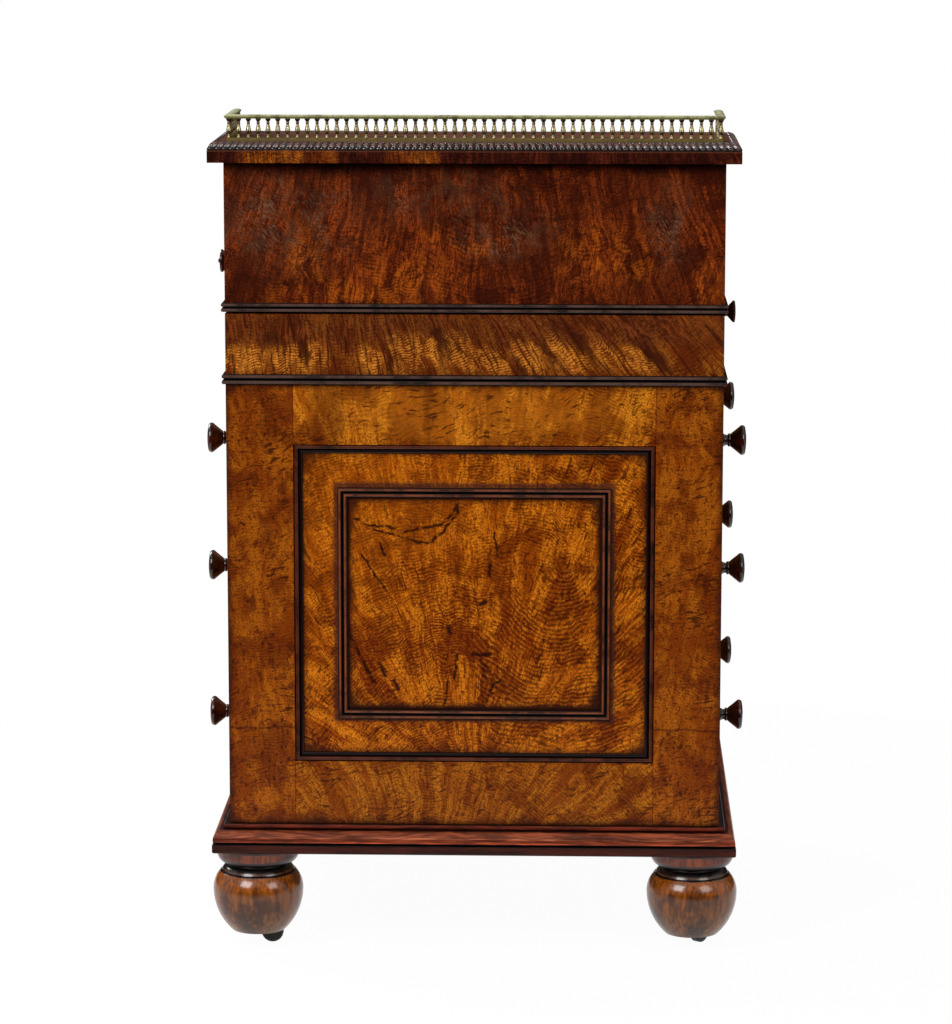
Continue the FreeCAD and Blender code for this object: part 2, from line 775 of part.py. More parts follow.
def build_frieze(parts):
    parts["frieze_boards"] = group(
        box(-half_width, half_width, y, y + frieze_board, pedestal_top, frieze_top)
        for y in (-half_depth, frieze_inner_y))
    sides = []
    for x0 in (-half_width, frieze_inner_x):
        x1 = x0 + frieze_board
        low, high = slide_low - slide_gap, slide_high + slide_gap
        back, front = slide_y1 + slide_gap, slide_y0 - slide_gap
        sides += [
            box(x0, x1, -frieze_inner_y, frieze_inner_y, pedestal_top, low),
            box(x0, x1, -frieze_inner_y, frieze_inner_y, high, frieze_top),
            box(x0, x1, back, frieze_inner_y, low, high),
            box(x0, x1, -frieze_inner_y, front, low, high),
        ]
    parts["frieze_sides"] = group(sides)
    parts["frieze_moulding"] = group(moulding_around(
        double_bead(waist_moulding_height, waist_moulding_projection, pedestal_top),
        half_width, half_depth, waist_moulding_projection + 1))

    # three deck boards leave two slots for the battens of the desk box
    slot = batten_web / 2 + batten_side_gap
    edges = [-frieze_inner_x]
    for centre in (-batten_spacing / 2, batten_spacing / 2):
        edges += [centre - slot, centre + slot]
    edges.append(frieze_inner_x)
    parts["deck_boards"] = group(
        box(edges[i], edges[i + 1], -frieze_inner_y, frieze_inner_y, deck_under, frieze_top)
        for i in (0, 2, 4))

    # grooved guides carry the slides' edges, and a bar between them stops both slides
    guides = []
    guide_top = deck_under - batten_flange_thickness - 3 * end_gap
    groove_low, groove_high = slide_low - running_gap, slide_high + slide_gap
    for y_edge, way in ((slide_y1, 1), (slide_y0, -1)):
        inner = y_edge - way * slide_groove
        span = sorted((inner, inner + way * slide_guide_width))
        guide = box(-frieze_inner_x, frieze_inner_x, span[0], span[1], pedestal_top, guide_top)
        cut = sorted((inner, y_edge + way * slide_gap))
        guides.append(guide.cut(box(-half_width, half_width, cut[0], cut[1], groove_low, groove_high)))
    stop = slide_stop_width / 2
    guides.append(box(-stop, stop, slide_y0 + slide_groove, slide_y1 - slide_groove, pedestal_top, guide_top))
    parts["slide_guides"] = group(guides)
    for name, side in (("right_slide", 1), ("left_slide", -1)):
        span = sorted((side * half_width, side * (half_width - slide_length)))
        board = box(span[0], span[1], slide_y0, slide_y1, slide_low, slide_high)
        board = board.cut(dowel_hole(side, slide_centre_y, slide_mid))
        pull = side_knob(side, slide_centre_y, slide_mid, small_knob_radius, small_knob_reach,
                         small_knob_head)
        parts[name] = group([board, pull])


# ---------------------------------------------------------------- desk box
def side_profile():
    """Side board of the desk box: level under the shelf, then falling with the lid."""
    return outline(
        across_x,
        (-half_depth, box_base),
        (box_inner_y, box_base),
        (box_inner_y, shelf_under),
        (shelf_front_y, shelf_under),
        (-half_depth, lid_under(-half_depth)),
    )


pen_drawer_y = half_depth - pen_drawer_setback
pen_y0 = pen_drawer_y - pen_drawer_width / 2
pen_y1 = pen_drawer_y + pen_drawer_width / 2
pen_low = box_floor + running_gap
pen_high = pen_low + pen_drawer_height
inner_case_front_y = pen_y0 - slide_gap - inner_front_board
pigeonhole_front_y = shelf_front_y + pigeonhole_setback
inner_floor = pen_high + end_gap + inner_board
inner_drawer_top = inner_floor + inner_drawer_height


def build_desk_box(parts):
    z0 = box_base
    parts["box_back"] = box(-half_width, half_width, box_inner_y, half_depth, z0, shelf_under)
    left = side_profile().extrude(V(box_wall, 0, 0))
    pen_hole = box(0, half_width + 1, pen_y0 - slide_gap, pen_y1 + slide_gap,
                   pen_low - slide_gap, pen_high + slide_gap)
    right = shifted(left, box_inner_x).cut(pen_hole)
    parts["box_sides"] = group([shifted(left, -half_width), right])
    front = outline(
        across_x,
        (-half_depth, z0),
        (-half_depth + box_wall, z0),
        (-half_depth + box_wall, lid_under(-half_depth + box_wall)),
        (-half_depth, lid_under(-half_depth)),
    ).extrude(V(2 * box_inner_x, 0, 0))
    front.translate(V(-box_inner_x, 0, 0))
    lock, escutcheon, lock_recess, keyhole = lid_lock()
    parts["box_front"] = front.cut([lock_recess, keyhole])
    parts["lid_lock"] = group([lock, escutcheon])
    parts["box_bottom"] = box(
        -box_inner_x, box_inner_x, -box_inner_y, box_inner_y, z0 + box_bottom_rise, box_floor)
    parts["box_moulding"] = group(moulding_around(
        double_bead(box_moulding_height, box_moulding_projection, z0),
        half_width, half_depth, box_moulding_projection + 1))

    # battens: the upper flange rides on the deck, the lower one holds the box down
    rear = frieze_inner_y - end_gap
    fore = -frieze_inner_y + end_gap + box_travel
    top = z0 + box_bottom_rise
    ride = frieze_top + running_gap
    hold = deck_under - end_gap
    battens = []
    for centre in (-batten_spacing / 2, batten_spacing / 2):
        x0, x1 = centre - batten_flange / 2, centre + batten_flange / 2
        upper = box(x0, x1, fore, rear, ride, top)
        lower = box(x0, x1, fore, rear, hold - batten_flange_thickness, hold)
        web = box(centre - batten_web / 2, centre + batten_web / 2, fore, rear, hold, ride)
        battens.append(upper.fuse([web, lower]).removeSplitter())
    parts["slide_battens"] = group(battens)


def lid_lock():
    """Lock case let into the front board from inside, its escutcheon outside, and their cuts."""
    back_y = -half_depth + box_wall
    top = lid_under(back_y) - lock_drop
    case_low = top - lock_height
    case = box(-lock_width / 2, lock_width / 2, back_y - lock_thickness, back_y, case_low, top)
    hole_z = case_low + 0.6 * lock_height
    drill = rod(keyhole_radius, 2 * box_wall, V(0, -half_depth - box_wall, hole_z), Y_AXIS)
    slot = box(-0.45 * keyhole_radius, 0.45 * keyhole_radius, -half_depth - box_wall,
               back_y - lock_thickness, hole_z - keyhole_slot, hole_z)
    keyhole = drill.fuse(slot)
    plate = rod(escutcheon_radius, escutcheon_thickness,
                V(0, -half_depth - escutcheon_thickness, hole_z - keyhole_slot / 3), Y_AXIS)
    keyhole_cut = keyhole.cut(case)
    return case, plate.cut(keyhole), case, keyhole_cut


hinge_z = shelf_top - hinge_axis_drop
hinge_xs = (-hinge_offset, hinge_offset)


def hinge_barrel(x, length, room=0.0):
    """Knuckle on the hinge line from x along +X, or the room round it."""
    return rod(hinge_barrel_radius + room, length, V(x, shelf_front_y, hinge_z), X_AXIS)


def hinge_parts():
    """Leaves let into the shelf's edge and the lid's edge, with interleaved knuckles on one pin."""
    knuckle = hinge_length / 3
    low = hinge_z - hinge_leaf_height
    fixed, moving, pins = [], [], []
    shelf_side = (shelf_front_y + lid_gap, shelf_front_y + lid_gap + hinge_leaf)
    lid_side = (shelf_front_y - lid_gap - hinge_leaf, shelf_front_y - lid_gap)
    for centre in hinge_xs:
        x0 = centre - hinge_length / 2
        pin = rod(hinge_pin_radius, hinge_length, V(x0, shelf_front_y, hinge_z), X_AXIS)
        bore = rod(hinge_pin_radius + running_fit, hinge_length, V(x0, shelf_front_y, hinge_z), X_AXIS)
        shelf_leaf = box(x0, x0 + hinge_length, *shelf_side, low, hinge_z)
        lid_leaf = box(x0, x0 + hinge_length, *lid_side, low, lid_over(lid_side[0]))
        gap = hinge_knuckle_gap
        mid_barrel = hinge_barrel(x0 + knuckle + gap, knuckle - 2 * gap)
        mid_room = hinge_barrel(x0 + knuckle, knuckle, lid_gap)
        end_barrels = [hinge_barrel(x, knuckle) for x in (x0, x0 + 2 * knuckle)]
        end_rooms = [hinge_barrel(x, knuckle + gap, lid_gap) for x in (x0, x0 + 2 * knuckle - gap)]
        fixed.append(shelf_leaf.cut(mid_room).fuse(end_barrels).cut(pin))
        moving.append(lid_leaf.cut(end_rooms).fuse(mid_barrel).cut(bore))
        pins.append(pin)
    return fixed, moving, pins


def build_shelf_and_hinges(parts):
    """Shelf with a fascia and a sloped edge band round its back and sides, and the lid's hinges."""
    front_y = shelf_front_y + lid_gap
    rise = shelf_thickness - shelf_fascia
    section = outline(
        across_x,
        (0, shelf_under),
        (shelf_edge_slope, shelf_under),
        (shelf_edge_slope, shelf_under + shelf_fascia),
        ((shelf_edge_slope * 0.72, shelf_under + shelf_fascia + rise * 0.62), (0, shelf_top)),
    )
    core_x = shelf_half_width - shelf_edge_slope
    core_y = shelf_rear_y - shelf_edge_slope
    reach = shelf_edge_slope + 1
    core = box(-core_x, core_x, front_y, core_y, shelf_under, shelf_top)
    edge = [
        placed_run(section, (-core_x, core_y), 0, 2 * core_x, reach),
        placed_run(section, (core_x, core_y), -90, core_y - front_y, reach, 1, 0),
        placed_run(section, (-core_x, front_y), 90, core_y - front_y, reach, 0, 1),
    ]
    fixed, moving, pins = hinge_parts()
    leaf_room = [box(x - hinge_length / 2, x + hinge_length / 2, front_y, front_y + hinge_leaf,
                     hinge_z - hinge_leaf_height, shelf_top) for x in hinge_xs]
    notches = [hinge_barrel(x - hinge_length / 2, hinge_length, lid_gap) for x in hinge_xs]
    quirk = box(-shelf_half_width, shelf_half_width, shelf_front_y - lid_gap, front_y + hinge_quirk_width,
                shelf_top - hinge_quirk_depth, shelf_top + lid_gap)
    parts["shelf_board"] = core.fuse(edge).removeSplitter().cut(leaf_room + notches + [quirk])
    parts["hinge_shelf_leaves"] = group(fixed + pins)
    parts["hinge_lid_leaves"] = group(moving)


def on_slope(shape):
    """A shape built on the level shelf plane, swung down about the hinge line to the lid's slope."""
    tilted = shape.copy()
    tilted.rotate(V(0, shelf_front_y, shelf_top), X_AXIS, slope_angle)
    return tilted


def build_lid(parts):
    rear_y = shelf_front_y - lid_gap
    lid = outline(
        across_x,
        (rear_y, lid_under(rear_y)),
        (rear_y, lid_over(rear_y)),
        (lid_front_y, lid_over(lid_front_y)),
        (lid_front_y, lid_under(lid_front_y)),
    ).extrude(V(2 * lid_half_width, 0, 0))
    lid.translate(V(-lid_half_width, 0, 0))
    slope_length = (shelf_front_y - lid_front_y) / math.cos(slope_rad)
    half_leather = lid_half_width - leather_margin
    leather = box(-half_leather, half_leather,
                  shelf_front_y - slope_length + leather_margin, shelf_front_y - leather_margin,
                  shelf_top - leather_thickness, shelf_top)
    leather = on_slope(leather)
    ledge_y = shelf_front_y - slope_length + ledge_setback
    ledge = outline(
        across_x,
        (ledge_y, shelf_top),
        (ledge_y + ledge_width, shelf_top),
        (ledge_y + ledge_width, shelf_top + 0.6 * ledge_height),
        ((ledge_y + ledge_width / 2, shelf_top + ledge_height), (ledge_y, shelf_top + 0.6 * ledge_height)),
    ).extrude(V(ledge_length, 0, 0))
    ledge.translate(V(-ledge_length / 2, 0, 0))
    leaf_room = [box(x - hinge_length / 2, x + hinge_length / 2, rear_y - hinge_leaf, rear_y,
                     hinge_z - hinge_leaf_height, shelf_top) for x in hinge_xs]
    notches = [hinge_barrel(x - hinge_length / 2, hinge_length, lid_gap) for x in hinge_xs]
    parts["lid_board"] = lid.cut([leather] + leaf_room + notches)
    parts["lid_leather"] = leather
    parts["lid_ledge"] = on_slope(ledge)


# ---------------------------------------------------------------- pen drawer and inner case
def build_pen_drawer(parts):
    inside = half_width - pen_front_thickness
    end = half_width - pen_drawer_length
    front = box(inside, half_width, pen_y0, pen_y1, pen_low, pen_high)
    mid = (pen_low + pen_high) / 2
    front = front.cut(dowel_hole(1, pen_drawer_y, mid))
    tray_high = pen_high - pen_tray_drop
    wall = pen_tray_wall
    tray = box(end, inside, pen_y0, pen_y1, pen_low, tray_high)
    tray = tray.cut(dowel_hole(1, pen_drawer_y, mid))
    floor = pen_low + wall
    wells_end = inside - wall - ink_well_length
    well_spans = ((pen_y0 + wall, pen_drawer_y - wall / 2), (pen_drawer_y + wall / 2, pen_y1 - wall))
    wells = [box(wells_end, inside - wall, y0, y1, floor, tray_high) for y0, y1 in well_spans]
    pens = box(end + wall, wells_end - wall, pen_y0 + wall, pen_y1 - wall, floor, tray_high)
    parts["pen_drawer"] = group([front, tray.cut(wells + [pens])])
    parts["pen_drawer_knob"] = side_knob(1, pen_drawer_y, mid, small_knob_radius, pen_knob_reach,
                                         small_knob_head, boss=True)


def build_inner_case(parts):
    rear = box_inner_y
    fore = inner_case_front_y
    x = box_inner_x
    under = pen_high + end_gap
    boards = [
        box(-x, x, fore, rear, under, inner_floor),
        box(-x, x, fore, fore + inner_front_board, box_floor, under),
        box(-x, x, pen_y1 + slide_gap, pen_y1 + slide_gap + inner_board, box_floor, under),
        box(-inner_board / 2, inner_board / 2, fore, rear, inner_floor, inner_drawer_top),
        box(-x, x, fore, rear, inner_drawer_top, inner_drawer_top + inner_board),
    ]
    bay = 2 * x / pigeonhole_count
    for i in range(1, pigeonhole_count):
        middle = -x + i * bay
        boards.append(box(middle - pigeonhole_board / 2, middle + pigeonhole_board / 2,
                          pigeonhole_front_y, rear, inner_drawer_top + inner_board, shelf_under))
    parts["inner_case"] = group(boards)
    for name, side in (("inner_drawer_left", -1), ("inner_drawer_right", 1)):
        span = sorted((side * (inner_board / 2 + slide_gap), side * (x - slide_gap)))
        x0, x1 = span
        base, top = inner_floor + running_gap, inner_drawer_top - slide_gap
        y1 = fore + inner_drawer_depth
        wall = inner_side_thickness
        inside = fore + inner_front_thickness
        low_top = top - inner_side_drop
        pull = knob(tiny_knob_radius, tiny_knob_reach, tiny_knob_head)
        pull.rotate(ORIGIN, X_AXIS, 90)
        pull = shifted(pull, (x0 + x1) / 2, fore, (base + top) / 2)
        bore = rod(knob_dowel_radius + dowel_fit, knob_dowel_length + dowel_fit,
                   V((x0 + x1) / 2, fore, (base + top) / 2), Y_AXIS)
        solids = [
            box(x0, x1, fore, inside, base, top).cut(bore),
            box(x0, x0 + wall, inside, y1, base, low_top),
            box(x1 - wall, x1, inside, y1, base, low_top),
            box(x0 + wall, x1 - wall, y1 - wall, y1, base + wall, low_top),
            box(x0 + wall, x1 - wall, inside, y1, base, base + wall),
            pull,
        ]
        parts[name] = group(solids)


# ---------------------------------------------------------------- brass gallery
gallery_x = shelf_half_width - gallery_side_inset - gallery_rail_width / 2
gallery_y = shelf_rear_y - gallery_rear_inset - gallery_rail_width / 2
gallery_end_y = shelf_rear_y - gallery_rear_inset - gallery_return
gallery_foot = shelf_top + gallery_bottom_rail_height
gallery_head = shelf_top + gallery_height - gallery_top_rail_height


def gallery_rails(section, width):
    """Rails along the back and both side returns, centred on the balusters, mitred at the back corners."""
    reach = width + 1
    x, y = gallery_x - width / 2, gallery_y - width / 2
    return [
        placed_run(section, (-x, y), 0, 2 * x, reach),
        placed_run(section, (x, y), -90, y - gallery_end_y, reach, 1, 0),
        placed_run(section, (-x, gallery_end_y), 90, y - gallery_end_y, reach, 0, 1),
    ]


def baluster():
    """Turned baluster between the rails: spreading foot, vase-shaped belly, ringed neck and head."""
    tall = gallery_head - gallery_foot
    foot, head = baluster_foot_radius, baluster_head_radius
    belly, neck = baluster_belly_radius, baluster_neck_radius
    return turned(
        (0, 0),
        (foot, 0),
        (foot, 0.03 * tall),
        (baluster_ankle_radius, 0.2 * tall),
        (0.93 * belly, 0.3 * tall),
        (belly, 0.38 * tall),
        (0.93 * belly, 0.46 * tall),
        (neck, 0.71 * tall),
        (baluster_ring_radius, 0.78 * tall),
        (neck, 0.84 * tall),
        (head, 0.94 * tall),
        (head, tall),
        (0, tall),
    )


def scroll_end():
    """Scrolled bracket that closes each return, sweeping down from the top rail to the bottom rail."""
    long = gallery_scroll_length
    low, high = shelf_top, gallery_head + 0.9 * gallery_top_rail_height
    tall = high - low
    return outline(
        across_x,
        (0, low),
        (0, high),
        ((-0.55 * long, high - 0.08 * tall), (-0.78 * long, high - 0.34 * tall)),
        ((-0.62 * long, high - 0.62 * tall), (-0.86 * long, low + 0.2 * tall)),
        (-long, low + 0.1 * tall),
        (-long, low),
    ).extrude(V(gallery_scroll_thickness, 0, 0))


def baluster_places():
    x, y = gallery_x, gallery_y
    across = max(2, round(2 * x / gallery_pitch))
    places = [(-x + i * 2 * x / across, y) for i in range(across + 1)]
    run = y - gallery_end_y - gallery_pitch / 2
    along = max(1, round(run / gallery_pitch))
    for i in range(1, along + 1):
        places += [(-x, y - i * run / along), (x, y - i * run / along)]
    return places


def build_gallery(parts):
    w, ease = gallery_rail_width, 0.8
    flat = outline(
        across_x,
        (0, shelf_top),
        (w, shelf_top),
        (w, gallery_foot - ease),
        (w - ease, gallery_foot),
        (ease, gallery_foot),
        (0, gallery_foot - ease),
    )
    wide, tall = gallery_top_rail_width, gallery_top_rail_height
    moulded = outline(
        across_x,
        (0.16 * wide, gallery_head),
        (0.84 * wide, gallery_head),
        (wide, gallery_head + 0.45 * tall),
        (wide, gallery_head + 0.7 * tall),
        ((wide / 2, gallery_head + tall), (0, gallery_head + 0.7 * tall)),
        (0, gallery_head + 0.45 * tall),
    )
    parts["gallery_bottom_rail"] = group(gallery_rails(flat, w))
    scroll = shifted(scroll_end(), -gallery_scroll_thickness / 2, gallery_end_y)
    scrolls = [shifted(scroll, x) for x in (-gallery_x, gallery_x)]
    parts["gallery_top_rail"] = group(gallery_rails(moulded, wide) + scrolls)
    post = shifted(baluster(), 0, 0, gallery_foot)
    parts["gallery_balusters"] = group(shifted(post, x, y) for x, y in baluster_places())


# ---------------------------------------------------------------- assembly
def build_all():
    parts = {}
    build_plinth(parts)
    build_panelled_ends(parts)
    build_carcase(parts)
    build_drawers(parts)
    build_frieze(parts)
    build_desk_box(parts)
    build_shelf_and_hinges(parts)
    build_lid(parts)
    build_pen_drawer(parts)
    build_inner_case(parts)
    build_gallery(parts)
    return parts


os.makedirs("parts", exist_ok=True)
for node, shape in build_all().items():
    shape.exportStep("parts/" + node + ".step")
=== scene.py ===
"""Davenport desk: the looks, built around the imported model."""
import bmesh
import bpy
import json
import math
from mathutils import Matrix, Vector

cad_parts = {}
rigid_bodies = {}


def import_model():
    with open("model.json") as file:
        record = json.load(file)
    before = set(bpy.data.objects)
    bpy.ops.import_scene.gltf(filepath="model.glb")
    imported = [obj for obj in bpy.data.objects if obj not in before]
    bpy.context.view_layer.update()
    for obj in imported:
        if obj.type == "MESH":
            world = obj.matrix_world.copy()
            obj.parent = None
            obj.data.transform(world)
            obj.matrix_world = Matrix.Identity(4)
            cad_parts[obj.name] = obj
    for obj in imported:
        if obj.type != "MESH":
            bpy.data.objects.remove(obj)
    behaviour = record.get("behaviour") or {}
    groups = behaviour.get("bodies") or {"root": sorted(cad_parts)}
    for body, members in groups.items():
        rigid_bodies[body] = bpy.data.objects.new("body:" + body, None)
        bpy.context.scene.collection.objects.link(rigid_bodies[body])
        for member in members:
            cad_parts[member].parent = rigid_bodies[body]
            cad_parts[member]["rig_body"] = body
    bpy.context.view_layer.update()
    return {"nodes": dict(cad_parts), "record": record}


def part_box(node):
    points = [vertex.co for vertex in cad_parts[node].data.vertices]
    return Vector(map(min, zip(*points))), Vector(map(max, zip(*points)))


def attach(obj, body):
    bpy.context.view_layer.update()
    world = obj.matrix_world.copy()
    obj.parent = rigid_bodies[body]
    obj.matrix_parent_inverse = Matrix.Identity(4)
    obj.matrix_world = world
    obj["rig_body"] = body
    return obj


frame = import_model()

nodes = frame["nodes"]

# -------------------- camera
picture_height = 1024
focal_pixels = 3850.0
camera_place = Vector((-0.11773, 4.22889, 1.15264))
camera_heading = 0.0291
camera_dip = 0.1687
camera_tilt = 0.0007


def set_camera():
    level = Vector((math.sin(camera_heading), -math.cos(camera_heading), 0))
    right = Vector((-math.cos(camera_heading), -math.sin(camera_heading), 0))
    ahead = level * math.cos(camera_dip) - Vector((0, 0, 1)) * math.sin(camera_dip)
    up = level * math.sin(camera_dip) + Vector((0, 0, 1)) * math.cos(camera_dip)
    across = right * math.cos(camera_tilt) + up * math.sin(camera_tilt)
    above = up * math.cos(camera_tilt) - right * math.sin(camera_tilt)
    data = bpy.data.cameras.new("camera")
    data.sensor_width = 36.0
    data.sensor_fit = "AUTO"
    data.lens = focal_pixels / picture_height * data.sensor_width
    data.clip_end = 50
    camera = bpy.data.objects.new("camera", data)
    turn = Matrix((across, above, -ahead)).transposed().to_4x4()
    camera.matrix_world = Matrix.Translation(camera_place) @ turn
    bpy.context.scene.collection.objects.link(camera)
    bpy.context.scene.camera = camera


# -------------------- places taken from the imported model
def corners(node_name):
    """Lowest and highest corner of a node's box."""
    return [Vector(corner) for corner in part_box(node_name)]


case_half = corners("frieze_boards")[1].xy
panel_face = corners("back_panel")[1].y          # outer face of the two framed panels, from the middle
shelf_low, shelf_high = corners("shelf_board")
leather_low, leather_high = corners("lid_leather")
drawer_fronts = [corners(f"drawer_{number}_front") for number in (1, 2, 3)]


# -------------------- node helpers
def tone(red, green, blue):
    """Linear colour of a tint written from 0 to 255."""
    def linear(part):
        part /= 255
        return part / 12.92 if part <= 0.04045 else ((part + 0.055) / 1.055) ** 2.4
    return (linear(red), linear(green), linear(blue), 1.0)


def link(value, target):
    value.id_data.links.new(value, target)


def node(kind, sockets, tree=None, **options):
    """Adds a node with its options set and its inputs filled or linked, and returns it; without a
    tree it goes where its first linked input comes from."""
    linked = {socket: value for socket, value in sockets.items()
              if isinstance(value, bpy.types.NodeSocket)}
    tree = tree or next(iter(linked.values())).id_data
    made = tree.nodes.new("ShaderNode" + kind)
    for option, value in options.items():
        setattr(made, option, value)
    for socket, value in sockets.items():
        if socket in linked:
            link(value, made.inputs[socket])
        else:
            made.inputs[socket].default_value = value
    return made


def maths(operation, *values, clamp=False):
    return node("Math", dict(enumerate(values)), operation=operation, use_clamp=clamp).outputs[0]


def times(first, second):
    return maths("MULTIPLY", first, second)


def less(first, second):
    return maths("SUBTRACT", first, second)


def larger(first, second):
    return maths("MAXIMUM", first, second)


def absolute(value):
    return maths("ABSOLUTE", value)


def vectors(operation, *values):
    made = node("VectorMath", dict(enumerate(values)), operation=operation)
    return made.outputs["Value" if operation in ("DISTANCE", "LENGTH", "DOT_PRODUCT") else "Vector"]


def scaled(vector, factor):
    return node("VectorMath", {0: vector, "Scale": factor}, operation="SCALE").outputs[0]


def split(vector):
    """The parts of a vector, by the names X, Y and Z."""
    return node("SeparateXYZ", {0: vector}).outputs


def joined(x, z, y=0.0):
    return node("CombineXYZ", {"X": x, "Y": y, "Z": z}).outputs[0]


def axis_of(place, axis, aside=False):
    """One part of a place; aside takes it without its sign, alike on both sides of the middle."""
    value = split(place)[axis]
    return absolute(value) if aside else value


def spread(value, low, high, to_low=0.0, to_high=1.0):
    """Value taken smoothly from low..high to another span."""
    sockets = {"Value": value, "From Min": low, "From Max": high, "To Min": to_low, "To Max": to_high}
    return node("MapRange", sockets, interpolation_type="SMOOTHSTEP").outputs["Result"]


def band(value, low, high, soft):
    """Mask that is 1 from low to high and falls off softly on both sides."""
    return times(spread(value, low - soft, low + soft), spread(value, high + soft, high - soft))


def mixed(amount, first, second, blend="MIX"):
    sockets = {0: amount, 6: first, 7: second}
    return node("Mix", sockets, data_type="RGBA", blend_type=blend).outputs[2]


def tinted(colour, mask, amount, tint):
    """Colour taken towards a tint where the mask lies, by amount at the most."""
    return mixed(times(mask, amount), colour, tone(*tint))


def noise(vector, scale, detail=2.0, roughness=0.5, output="Fac"):
    sockets = {"Vector": vector, "Scale": scale, "Detail": detail, "Roughness": roughness}
    return node("TexNoise", sockets).outputs[output]


def streaky(vector, stretch, detail, roughness=0.5):
    """Noise in a stretched space; the stretch says how fine it is along X, Y and Z."""
    return noise(vectors("MULTIPLY", vector, stretch), 1.0, detail, roughness)


def sway(vector, scale, detail=3.0):
    """A vector that wanders about zero."""
    return vectors("SUBTRACT", noise(vector, scale, detail, output="Color"), (0.5, 0.5, 0.5))


def shaken(place, scale, amount):
    """Place moved about a little, so that what is drawn on it gets uneven edges."""
    return vectors("MULTIPLY_ADD", sway(place, scale), (amount, amount, amount), place)


def new_group(name, inputs, outputs):
    """An empty shader group; its sockets are (label, kind), or (label, kind, value) for an input."""
    tree = bpy.data.node_groups.new(name, "ShaderNodeTree")
    for direction, sockets in (("INPUT", inputs), ("OUTPUT", outputs)):
        for label, kind, *value in sockets:
            made = tree.interface.new_socket(label, in_out=direction, socket_type="NodeSocket" + kind)
            if value:
                made.default_value = value[0]
    return tree, tree.nodes.new("NodeGroupInput").outputs, tree.nodes.new("NodeGroupOutput").inputs


def put_out(tree, out, results):
    """Links a group's results to its outputs, and returns the group."""
    for label, value in results.items():
        link(value, out[label])
    return tree


def use(group, sockets):
    """A copy of a group with its inputs filled or linked; returns its outputs."""
    return node("Group", sockets, node_tree=group).outputs


# -------------------- shared effects
dash_pitch = 0.0034           # between the rows of dashes that cross the fibres
ring_pitch = 0.0046           # between the rows that run in rings


